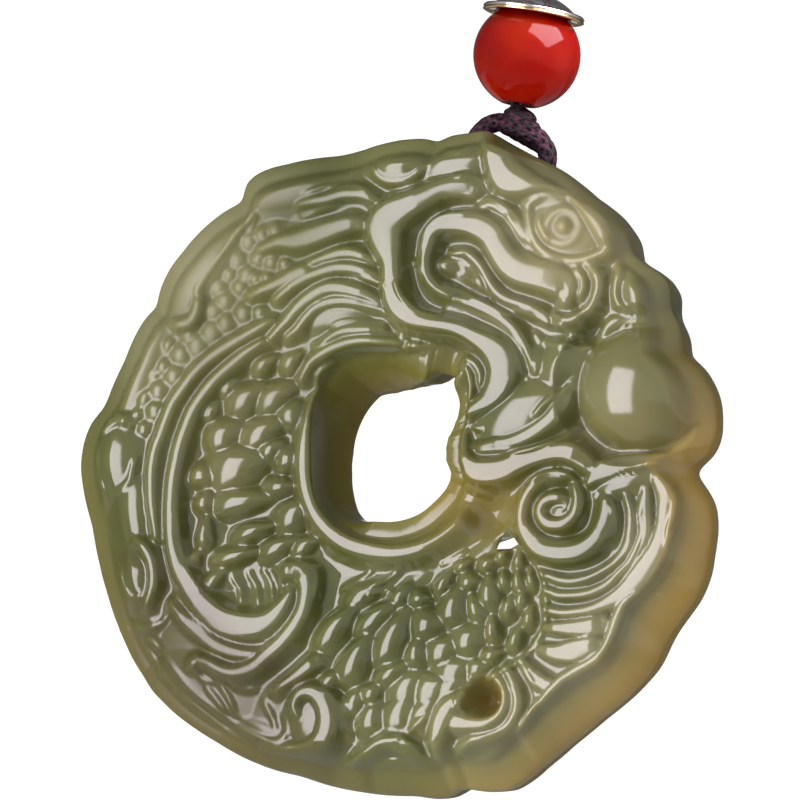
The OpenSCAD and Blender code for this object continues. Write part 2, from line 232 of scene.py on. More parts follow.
# The stone's outline and its hole, from the hole's middle: x, z, mm.
OUTLINE: Table = (
    (-27.85, 0.3), (-27.7, 1.6), (-27.4, 2.8), (-26.85, 4.0), (-26.1, 4.7), (-25.6, 5.1), (-25.3, 5.7),
    (-24.6, 7.1), (-23.7, 8.7), (-22.9, 10.6), (-21.9, 12.3), (-21.1, 13.15), (-21.0, 14.1), (-20.6, 15.25),
    (-19.9, 16.6), (-19.0, 17.5), (-18.2, 18.4), (-17.1, 19.4), (-15.6, 20.5), (-14.4, 21.1),
    (-13.65, 21.4), (-13.6, 22.2), (-13.3, 22.85), (-12.7, 23.5), (-11.7, 24.05), (-10.6, 24.4),
    (-9.1, 24.7), (-7.3, 24.9), (-5.3, 25.0), (-4.2, 25.2), (-3.0, 25.5), (-1.6, 25.8), (0.1, 26.05),
    (2.1, 26.2), (2.7, 26.1), (3.7, 25.8), (3.8, 26.3), (5.06, 26.56), (6.5, 26.7), (7.2, 26.9),
    (8.0, 26.8), (9.5, 25.8), (10.9, 24.95), (12.0, 24.3), (13.15, 23.7), (14.4, 22.9), (15.7, 21.8),
    (16.8, 20.7), (18.0, 19.8), (18.8, 19.0), (19.5, 18.1), (20.0, 17.2), (20.1, 16.4), (20.1, 15.8),
    (20.5, 15.4), (21.5, 14.6), (22.6, 14.0), (23.2, 13.3), (23.5, 12.6), (23.4, 11.1), (23.8, 10.2),
    (24.2, 9.5), (24.4, 8.5), (24.4, 7.7), (25.1, 7.0), (25.8, 6.4), (26.5, 5.3), (27.0, 4.2), (27.2, 3.0),
    (27.2, 1.1), (26.9, 0.05), (26.35, -0.9), (25.5, -1.5), (25.0, -2.0), (25.35, -2.8), (26.1, -3.8),
    (26.7, -4.8), (26.9, -5.7), (27.0, -7.2), (26.8, -9.0), (26.6, -10.4), (26.1, -11.8), (25.4, -13.1),
    (24.4, -14.3), (23.4, -15.5), (22.7, -16.6), (22.1, -17.8), (21.5, -18.7), (20.5, -19.7), (19.4, -20.7),
    (18.3, -21.5), (16.8, -22.55), (15.4, -23.6), (14.0, -24.6), (12.9, -25.5), (11.7, -26.35),
    (10.7, -27.2), (9.2, -28.1), (7.25, -28.2), (5.0, -27.8), (4.8, -27.7), (4.4, -28.35), (2.8, -28.65),
    (0.7, -28.3), (-5.0, -27.7), (-7.1, -27.2), (-8.8, -26.6), (-11.4, -25.8), (-14.2, -24.5),
    (-16.8, -22.9), (-18.05, -22.1), (-19.3, -21.1), (-20.5, -20.0), (-21.3, -19.1), (-22.2, -18.1),
    (-22.9, -16.95), (-23.65, -15.7), (-24.3, -14.2), (-24.8, -12.85), (-25.2, -11.5), (-25.6, -9.95),
    (-26.1, -8.45), (-26.7, -5.8), (-27.1, -4.05), (-27.5, -2.4), (-27.7, -1.05),
)

HOLE: Table = (
    (5.6, 5.3), (5.2, 6.6), (3.6, 7.05), (2.1, 6.2), (0.7, 5.9), (-0.6, 5.6), (-2, 5.4), (-3.3, 5.3),
    (-4.3, 4.3), (-4.9, 3.3), (-5.3, 2.2), (-5.5, 0.9), (-5.6, -0.7), (-5.5, -2.2), (-5.1, -3.6),
    (-4.0, -4.9), (-2.5, -5.7), (-0.8, -6.0), (0.7, -5.8), (2.1, -5.25), (3.2, -4.4), (4.35, -3.2),
    (5.0, -2.0), (4.6, -0.8), (4.6, 0.3), (4.8, 1.3), (5.3, 2.5), (5.6, 3.7),
)

# Width of the sloping edge between face and side, by the angle round the hole.
EDGE_BY_ANGLE: Table = (
    (-180, 1.5), (-150, 1.4), (-130, 1.1), (-112, 1.2), (-95, 1.9), (-75, 2.3), (-66, 2.4), (-60, 2.6),
    (-52, 2.7), (-45, 2.1), (-40, 2.5), (-34, 2.7), (-30, 2.5), (-25, 2.2), (-20, 1.9), (-12, 1.3),
    (0, 1.3), (30, 1.2), (42, 0.7), (54, 0.9), (60, 1.1), (67, 0.7), (76, 1.2), (120, 1.6), (180, 1.5),
)

# Height of the widest line of the sides, by the angle round the hole.
WAIST_BY_ANGLE: Table = (
    (-180, 2.2), (-150, 2.2), (-100, 0.6), (-60, -1.2), (0, -1.2), (20, 0.0), (34, 1.2), (75, 1.2),
    (100, 0.8), (130, 2.0), (180, 2.2),
)

# How far the sides stand out from the outline, by the angle round the hole.
SWELL_BY_ANGLE: Table = (
    (-180, 1.2), (-165, 1.2), (-150, 1.0), (-140, 0.9), (-130, 0.5), (-120, 0.3), (-110, 0.0), (-80, 0.1),
    (-50, -0.05), (-30, -0.3), (-20, -0.45), (-8, -0.2), (12, 0.0), (30, 0.3), (45, 0.4), (60, 0.15),
    (75, 0.0), (90, 0.5), (112, 0.55), (120, 1.0), (140, 0.8), (152, 1.2), (180, 1.2),
)

# How far the hole's lip stands out from its narrowest line, by the angle round the hole.
LIP_BY_ANGLE: Table = (
    (-180, 1.2), (-135, 1.2), (-90, 1.3), (0, 1.1), (40, 1.1), (58, 1.9), (80, 2.3), (110, 3.2), (135, 2.8),
    (160, 1.5), (180, 1.2),
)

# Width of the outer band that slopes outwards, by the angle round the hole.
SHED_BY_ANGLE: Table = (
    (-180, 2.4), (-150, 2.4), (-130, 1.9), (-105, 1.9), (-90, 2.2), (-68, 1.8), (-58, 0.6), (-24, 0.4),
    (-12, 0.4), (8, 0.8), (60, 0.4), (105, 0.6), (128, 2.2), (160, 2.6), (180, 2.4),
)

MANE: tuple[Strand, ...] = (
    Strand(0.8, ((-8.1, 21.3, 0.2), (-5.8, 21.5, 0.45), (-4.1, 21.85, 0.5), (-2.4, 21.7, 0.45),
        (-1.2, 21.0, 0.2))),
    Strand(0.5, ((-7.5, 22.0, 0.15), (-5.8, 22.5, 0.2), (-3.3, 22.7, 0.2), (-1.9, 22.1, 0.1))),
    Strand(0.55, ((-8, 20.2, 0.15), (-5, 20.65, 0.25), (-2, 20.5, 0.2))),
    Strand(1.0, ((-11.5, 17.6, 0.1), (-9.8, 18.05, 0.5), (-8.2, 18.1, 1.0), (-6.7, 18.45, 1.2),
        (-5.1, 18.9, 1.1), (-3.5, 19.25, 0.9), (-2.0, 19.1, 0.5))),
    Strand(0.8, ((-7.5, 15.9, 0.1), (-6.0, 16.4, 0.3), (-4.4, 16.8, 0.5), (-3, 16.7, 0.45),
        (-1.5, 16.0, 0.2))),
    Strand(0.85, ((-12.4, 13.7, 0.2), (-10.05, 14.5, 0.5), (-8.4, 15.2, 0.7), (-6.9, 15.7, 0.4))),
    Strand(0.9, ((-10, 13.4, 0.2), (-8.9, 14.1, 0.35), (-7.5, 14.85, 0.45), (-6.1, 15.3, 0.45),
        (-4.7, 15.6, 0.5), (-3.3, 15.5, 0.5), (-2.1, 15.1, 0.4), (-0.7, 14.3, 0.15))),
    Strand(0.5, ((-3.6, 14.6, 0.1), (-1.8, 14.35, 0.15), (-0.3, 13.75, 0.1))),
    Strand(1.0, ((-10.6, 10.0, 0.1), (-8.9, 11.5, 0.4), (-7.9, 12.5, 0.55), (-6.8, 13.3, 0.65),
        (-5.4, 13.9, 0.65), (-4.0, 13.8, 0.65), (-2.4, 13.3, 0.5), (-0.9, 12.5, 0.2))),
    Strand(0.85, ((-9.1, 10.1, 0.1), (-8.1, 10.7, 0.25), (-7.3, 11.6, 0.4), (-6.4, 12.35, 0.4),
        (-5.25, 12.75, 0.45), (-4, 12.8, 0.45), (-2.7, 12.55, 0.35), (-0.6, 11.9, 0.15))),
    Strand(0.55, ((-5.2, 10.7, 0.1), (-4, 11.0, 0.2), (-2.4, 11.0, 0.2), (-0.5, 10.9, 0.1))),
    Strand(0.7, ((-6.4, 9.0, 0.1), (-4.6, 10.1, 0.3), (-3, 10.3, 0.35), (-0.9, 10.2, 0.2))),
    Strand(0.85, ((-7.9, 6.5, 0.1), (-6.95, 7.75, 0.3), (-5.8, 8.5, 0.4), (-4.4, 9.05, 0.45),
        (-2.4, 9.35, 0.4), (0.3, 9.0, 0.2))),
    Strand(0.75, ((-6.3, 6.7, 0.1), (-5, 7.5, 0.25), (-3.7, 7.95, 0.3), (-2.2, 7.95, 0.3),
        (-0.6, 7.75, 0.3), (0.5, 7.95, 0.25), (2.0, 8.5, 0.15))),
    Strand(0.6, ((-0.5, 11.6, 0.15), (0.1, 10.8, 0.2), (0.8, 9.9, 0.2), (1.5, 9.0, 0.15))),
)

FACE: tuple[Strand, ...] = (
    Strand(1.5, ((8.5, 28.0, 0.4), (8.7, 26.6, 0.6), (9.1, 25.2, 1.0), (9.7, 23.8, 1.8), (10.5, 22.6, 2.4),
        (11.6, 22.1, 1.9), (12.9, 21.95, 1.1), (14.3, 21.9, 0.8), (15.7, 21.5, 0.5), (17.2, 20.6, 0.3),
        (18.6, 19.4, 0.2))),
    Strand(0.3, ((16.85, 18.0, 0.3), (16.3, 19.1, 0.3), (15.3, 19.5, 0.3), (14.3, 19.1, 0.3),
        (13.8, 18.0, 0.3), (14.3, 16.9, 0.3), (15.3, 16.5, 0.3), (16.3, 16.9, 0.3), (16.85, 18.0, 0.3))),
    Strand(1.45, ((7.3, 21.6, 0.9), (6.2, 21.85, 1.2), (4.7, 21.7, 1.2), (3.3, 21.1, 1.3),
        (1.85, 20.5, 1.6), (0.5, 19.8, 2.2), (-0.3, 18.8, 2.5), (-0.1, 17.3, 1.8), (0.25, 15.8, 1.0),
        (0.35, 14.3, 1.0), (0.5, 13.0, 1.2), (1.0, 11.9, 1.2), (2.0, 11.0, 0.9), (3.4, 10.5, 0.6),
        (5.2, 10.15, 0.6), (6.5, 9.75, 0.7), (7.7, 9.1, 0.9), (8.8, 8.4, 1.3), (9.7, 7.5, 1.8),
        (10.1, 6.4, 2.0), (9.9, 5.4, 1.8), (9.3, 4.4, 1.4), (8.3, 3.6, 0.8), (7.0, 3.0, 0.3))),
    Strand(1.4, ((5.3, 12.8, 0.15), (4.4, 13.3, 0.2), (3.7, 14.05, 0.25), (3.35, 15.0, 0.3),
        (3.35, 16.1, 0.35), (3.6, 17.1, 0.45), (3.95, 18.0, 0.6), (4.7, 18.6, 0.8), (5.7, 18.75, 1.0),
        (7.0, 18.65, 1.2), (8.1, 18.35, 1.5), (9.1, 17.6, 1.6), (9.7, 16.5, 1.5), (10.5, 15.3, 1.6),
        (11.6, 14.5, 1.7), (13.3, 13.95, 1.7), (14.7, 13.5, 1.8), (15.5, 13.0, 1.5), (15.5, 12.0, 0.6))),
    Strand(0.55, ((2.3, 15.6, 0.1), (2.84, 16.77, 0.15), (3.1, 17.9, 0.15), (3.75, 18.9, 0.15),
        (4.7, 19.5, 0.2), (6.0, 19.65, 0.2), (7.0, 19.75, 0.2), (8.1, 19.95, 0.2), (9.1, 19.85, 0.2),
        (9.95, 19.1, 0.2), (10.8, 17.9, 0.2), (11.7, 16.6, 0.15), (13.0, 15.5, 0.15), (15.0, 14.9, 0.1))),
    Strand(0.7, ((8.0, 20.35, 0.2), (9.1, 20.4, 0.3), (10.2, 19.75, 0.3), (11.2, 18.7, 0.3),
        (12.1, 17.3, 0.2), (12.5, 16.6, 0.1))),
    Strand(0.45, ((10.4, 19.1, 0.1), (11.0, 18.1, 0.15), (11.6, 17.2, 0.1))),
    Strand(0.55, ((1.9, 15.9, 0.1), (2.6, 15.0, 0.5), (2.7, 14.0, 0.2))),
    Strand(0.8, ((5.6, 16.25, 0.15), (6.67, 16.25, 0.25), (7.5, 15.65, 0.3), (8.2, 14.8, 0.3),
        (8.9, 13.55, 0.3), (9.5, 12.75, 0.3), (10.4, 12.15, 0.3), (11.6, 11.7, 0.3), (13.0, 11.1, 0.25),
        (14.0, 10.4, 0.1))),
    Strand(0.8, ((4.6, 15.35, 0.3), (5.8, 15.25, 0.55), (6.8, 14.7, 0.6), (7.7, 14.0, 0.45),
        (8.6, 13.1, 0.15))),
    Strand(0.6, ((5.1, 13.65, 0.15), (6.67, 13.05, 0.25), (8.4, 12.1, 0.25), (10.1, 11.2, 0.25),
        (11.6, 10.9, 0.25), (13.5, 10.1, 0.15), (15.4, 9.4, 0.1), (17.2, 8.1, 0.1))),
    Strand(0.8, ((5.3, 12.55, 0.1), (6.5, 12.25, 0.3), (7.8, 11.75, 0.4), (9.1, 11.1, 0.4),
        (10.4, 10.2, 0.35), (11.3, 9.2, 0.3), (12.2, 7.6, 0.2), (12.7, 6.0, 0.1))),
    Strand(0.6, ((4.7, 11.75, 0.1), (6.67, 11.2, 0.2), (8.8, 10.3, 0.25), (10.2, 9.4, 0.25),
        (11.1, 8.3, 0.25), (11.7, 6.9, 0.2), (12.0, 5.6, 0.1))),
    Strand(0.55, ((0.9, 13.9, 0.1), (1.3, 12.95, 0.2), (2.1, 12.1, 0.25), (3.1, 11.5, 0.25),
        (4.6, 11.1, 0.1))),
    Strand(0.55, ((5.7, 22.85, 0.1), (7.4, 22.85, 0.25), (8.5, 21.95, 0.25), (8.6, 21.0, 0.1))),
    Strand(0.85, ((16.1, 14.55, 0.1), (16.85, 13.7, 0.2), (17.0, 12.8, 0.15), (16.6, 12.0, 0.05))),
    Strand(0.95, ((17.2, 14.75, 0.1), (18.1, 13.9, 0.25), (18.35, 12.8, 0.3), (17.9, 11.4, 0.25),
        (17.15, 10.6, 0.25), (16.2, 10.2, 0.25), (15.3, 10.15, 0.2), (14.4, 10.5, 0.1))),
    Strand(0.75, ((12.1, 19.6, 0.2), (12.3, 18.3, 0.3), (12.8, 16.9, 0.3), (13.6, 15.95, 0.3),
        (14.8, 15.35, 0.3), (16.2, 15.1, 0.3), (17.6, 15.3, 0.25), (19.0, 15.8, 0.25), (20.2, 16.0, 0.15))),
    Strand(0.8, ((12.0, 20.1, 0.2), (13.2, 20.75, 0.4), (14.8, 20.9, 0.4), (16.3, 20.4, 0.35),
        (17.6, 19.3, 0.3), (18.4, 18.1, 0.15))),
    Strand(0.6, ((13.1, 18.9, 0.3), (13.3, 17.8, 0.4), (13.9, 16.9, 0.2))),
    Strand(1.3, ((14.2, 22.6, 0.2), (15.7, 21.2, 0.35), (17.0, 19.9, 0.5), (18.0, 18.7, 0.8),
        (18.9, 17.4, 0.9), (19.4, 16.2, 0.5))),
    Strand(0.7, ((20.35, 14.9, 0.1), (20.1, 14.0, 0.25), (19.8, 12.7, 0.2), (19.9, 11.6, 0.15),
        (20.7, 10.7, 0.2), (22.0, 10.35, 0.15))),
    Strand(0.9, ((22.6, 12.95, 0.1), (23.3, 12.3, 0.3), (23.75, 11.1, 0.4), (23.95, 9.8, 0.2))),
    Strand(0.85, ((18.2, 8.4, 0.15), (18.9, 9.3, 0.4), (19.7, 9.75, 0.6), (20.8, 9.75, 0.35),
        (22.4, 9.95, 0.15))),
    Strand(0.6, ((18.9, 7.85, 0.1), (20.2, 8.2, 0.2), (21.2, 8.6, 0.2), (22.4, 8.75, 0.2),
        (23.6, 8.35, 0.2), (25.0, 7.5, 0.2), (26.3, 6.6, 0.2), (27.4, 5.7, 0.15))),
    Strand(0.6, ((17.6, 7.7, 0.1), (16.4, 8.05, 0.2), (15.0, 8.15, 0.3), (13.8, 8.5, 0.5), (13.0, 8.9, 0.6),
        (12.6, 9.4, 0.2))),
    Strand(0.55, ((13.0, 8.4, 0.4), (13.05, 7.3, 0.25), (13.0, 6.0, 0.1))),
    Strand(1.0, ((7.7, 0.0, 0.1), (9.2, 0.15, 0.4), (10.5, 0.2, 0.55), (11.9, 0.6, 0.7), (13.3, 1.3, 0.8),
        (14.45, 2.2, 0.85), (15.2, 3.35, 0.7), (15.7, 4.3, 0.35), (16.5, 5.2, 0.1))),
    Strand(0.6, ((7.7, -0.5, 0.1), (10.5, -0.6, 0.2), (12.6, -0.45, 0.2), (14.5, 0.3, 0.2),
        (16.0, 1.15, 0.1))),
    Strand(0.6, ((13.0, 2.4, 0.1), (14.0, 3.4, 0.2), (15.2, 4.5, 0.2), (16.2, 5.4, 0.1))),
    Strand(1.15, ((6.1, 1.2, 0.1), (6.35, -0.3, 0.4), (6.7, -1.25, 0.8), (7.5, -1.95, 1.3),
        (8.7, -2.15, 1.5), (10.1, -2.0, 1.35), (11.4, -1.5, 1.2), (13.0, -1.05, 1.0), (14.7, -0.8, 0.95),
        (15.9, -0.9, 1.1), (16.8, -1.45, 1.0), (17.6, -2.2, 0.5))),
    Strand(0.55, ((5.9, 2.3, 0.1), (6.8, 1.9, 0.2), (7.8, 1.5, 0.1))),
    Strand(0.8, ((6.3, 7.1, 0.1), (6.9, 5.95, 0.3), (7.0, 4.8, 0.3), (6.65, 3.7, 0.1))),
    Strand(0.7, ((6.4, 7.5, 0.1), (7.4, 6.95, 0.2), (7.95, 6.0, 0.2), (7.9, 5.0, 0.1))),
    Strand(0.55, ((5.7, -2.3, 0.1), (6.4, -3.1, 0.2), (7.3, -3.65, 0.2), (8.3, -4.0, 0.1))),
)

RING_AND_FIN: tuple[Strand, ...] = (
    Strand(1.0, ((-5.6, 5.2, 0.2), (-6.6, 3.8, 0.6), (-7.2, 1.8, 0.9), (-7.45, -0.6, 1.0),
        (-7.2, -2.9, 1.0), (-6.4, -4.9, 1.0), (-5.3, -6.3, 0.95), (-3.8, -7.4, 0.9), (-2.0, -8.1, 0.8),
        (0.4, -8.5, 0.6), (2.7, -8.2, 0.45), (4.6, -7.3, 0.3), (6.0, -6.2, 0.1)), 1.5),
    Strand(0.9, ((16.2, -3.7, 0.2), (16.45, -4.8, 0.45), (16.3, -5.9, 0.5), (15.6, -6.6, 0.55),
        (14.75, -6.8, 0.6), (13.8, -6.6, 0.55), (13.25, -5.8, 0.5), (13.5, -5.0, 0.5), (14.4, -4.55, 0.45),
        (15.3, -4.75, 0.3), (15.6, -5.4, 0.1))),
    Strand(1.1, ((15.6, -2.8, 0.15), (14.0, -2.9, 0.35), (13.0, -3.3, 0.45), (12.2, -4.2, 0.5),
        (11.75, -5.3, 0.5), (11.7, -6.6, 0.55), (12.2, -7.7, 0.7), (12.9, -8.5, 0.85), (13.9, -9.0, 0.95),
        (15.3, -9.2, 1.0), (16.7, -9.05, 1.0), (17.8, -8.5, 1.0), (18.55, -7.6, 1.0), (18.95, -6.4, 1.0),
        (18.9, -5.1, 0.5))),
    Strand(0.5, ((12.5, -6.9, 0.1), (13.3, -7.7, 0.2), (14.5, -8.05, 0.2), (16.0, -8.0, 0.2),
        (17.2, -7.3, 0.2), (17.7, -6.2, 0.2), (17.8, -4.6, 0.1))),
    Strand(0.5, ((12.6, -3.0, 0.1), (13.6, -2.4, 0.2), (14.8, -2.3, 0.2), (16.1, -3.0, 0.1))),
    Strand(1.1, ((17.5, -3.4, 0.3), (18.2, -2.8, 1.0), (19.3, -2.3, 1.5), (20.9, -1.95, 1.2),
        (22.6, -1.75, 0.8), (24.0, -1.9, 0.5), (25.1, -2.6, 0.4), (25.9, -3.5, 0.35), (26.15, -4.7, 0.35),
        (26.05, -6.2, 0.35), (25.7, -7.7, 0.35), (25.3, -9.2, 0.35), (24.9, -10.6, 0.35),
        (24.2, -11.8, 0.35), (23.2, -12.6, 0.35), (21.9, -12.9, 0.4), (20.8, -13.6, 0.9),
        (20.1, -14.9, 1.1), (19.6, -16.2, 1.0), (18.9, -17.4, 0.8), (17.8, -18.3, 0.6), (16.4, -19.0, 0.6),
        (15.0, -19.9, 0.7), (14.0, -20.8, 0.7), (13.2, -21.8, 0.7), (12.2, -22.7, 0.5),
        (11.1, -23.8, 0.2)), 0.6),
    Strand(0.7, ((20.55, -4.6, 0.2), (20.95, -5.8, 0.4), (21.0, -7.1, 0.45), (20.7, -8.8, 0.5),
        (19.7, -10.1, 0.35), (18.6, -10.8, 0.35), (17.2, -11.35, 0.35), (15.8, -11.5, 0.35),
        (14.6, -11.3, 0.35), (13.4, -10.8, 0.2)), 0.55),
    Strand(0.4, ((19.6, -5.2, 0.1), (19.9, -6.5, 0.15), (19.9, -7.8, 0.15), (19.3, -9.2, 0.1))),
    Strand(0.7, ((22.3, -3.7, 0.3), (22.2, -5.8, 0.75), (22.3, -7.7, 0.8), (21.8, -9.1, 0.65),
        (21.0, -10.3, 0.5), (19.9, -11.3, 0.35), (18.8, -12.1, 0.35), (17.4, -12.6, 0.4),
        (15.9, -12.7, 0.4), (14.6, -12.6, 0.35), (13.8, -12.2, 0.2)), 0.55),
    Strand(0.4, ((21.5, -4.4, 0.1), (21.6, -6.5, 0.15), (21.4, -8.6, 0.15), (20.4, -10.2, 0.15),
        (19.0, -11.4, 0.15), (17.2, -12.0, 0.15), (14.6, -11.95, 0.1))),
    Strand(0.95, ((23.2, -3.3, 0.6), (23.95, -4.5, 1.1), (24.1, -5.7, 1.2), (23.9, -7.2, 1.1),
        (23.5, -9.0, 1.5), (22.7, -10.4, 1.8), (21.8, -11.6, 1.9), (20.6, -12.7, 1.5), (19.2, -13.4, 0.9),
        (17.8, -13.9, 0.6), (16.4, -14.1, 0.45), (15.0, -14.1, 0.4), (13.8, -13.8, 0.3)), 0.5),
    Strand(0.6, ((24.9, -4.6, 0.1), (25.0, -6.0, 0.2), (24.5, -7.6, 0.2), (24.4, -9.2, 0.25),
        (24.1, -10.8, 0.2)), 0.6),
    Strand(0.9, ((13.8, -15.3, 0.4), (15.4, -15.4, 0.9), (17.0, -15.4, 1.2), (18.4, -15.2, 1.3)), 0.45),
    Strand(0.9, ((13.2, -17.0, 0.4), (14.6, -17.4, 1.1), (16.0, -17.3, 1.6), (17.2, -17.0, 1.4),
        (18.0, -16.8, 0.8)), 0.45),
    Strand(0.8, ((11.6, -18.0, 0.3), (12.7, -19.3, 0.8), (14.0, -20.2, 1.0), (15.2, -20.0, 0.8),
        (16.2, -19.6, 0.4)), 0.5),
    Strand(0.6, ((11.1, -18.0, 0.1), (11.8, -19.2, 0.3), (12.4, -20.2, 0.35), (12.5, -21.4, 0.4),
        (12.0, -22.5, 0.35), (11.1, -23.6, 0.35), (10.2, -24.5, 0.4), (9.1, -25.2, 0.4), (7.7, -25.8, 0.4),
        (6.5, -26.15, 0.3), (5.2, -26.3, 0.15)), 0.6),
    Strand(0.8, ((10.2, -18.7, 0.2), (10.8, -19.9, 0.35), (11.1, -21.2, 0.35), (10.8, -22.6, 0.35),
        (9.9, -23.6, 0.4), (8.6, -24.15, 0.4), (7.1, -24.4, 0.35), (5.8, -25.1, 0.15))),
    Strand(0.95, ((9.2, -19.2, 0.15), (9.95, -20.4, 0.3), (9.95, -21.5, 0.35), (9.4, -22.4, 0.45),
        (8.2, -23.0, 0.55), (6.8, -23.0, 0.7), (5.6, -22.8, 1.0), (4.8, -23.0, 0.8))),
    Strand(1.1, ((6.3, -20.7, 0.25), (5.7, -21.2, 0.7), (5.0, -21.9, 1.1), (4.5, -22.9, 1.1),
        (4.2, -23.9, 0.8), (4.1, -24.8, 0.5), (4.3, -25.7, 0.2))),
    Strand(0.5, ((6.9, -19.3, 0.1), (6.4, -20.2, 0.2), (6.15, -21.2, 0.2), (6.5, -22.1, 0.1))),
    Strand(0.45, ((0.6, -24.0, 0.1), (1.7, -23.3, 0.2), (3.2, -22.3, 0.1))),
    Strand(0.5, ((12.6, -9.9, 0.1), (13.25, -11, 0.2), (13.45, -12.6, 0.2), (13.5, -14.1, 0.2),
        (13.1, -15.5, 0.2), (12.2, -16.9, 0.2), (10.9, -18.0, 0.2), (9.3, -18.9, 0.2), (8.0, -19.5, 0.1))),
)

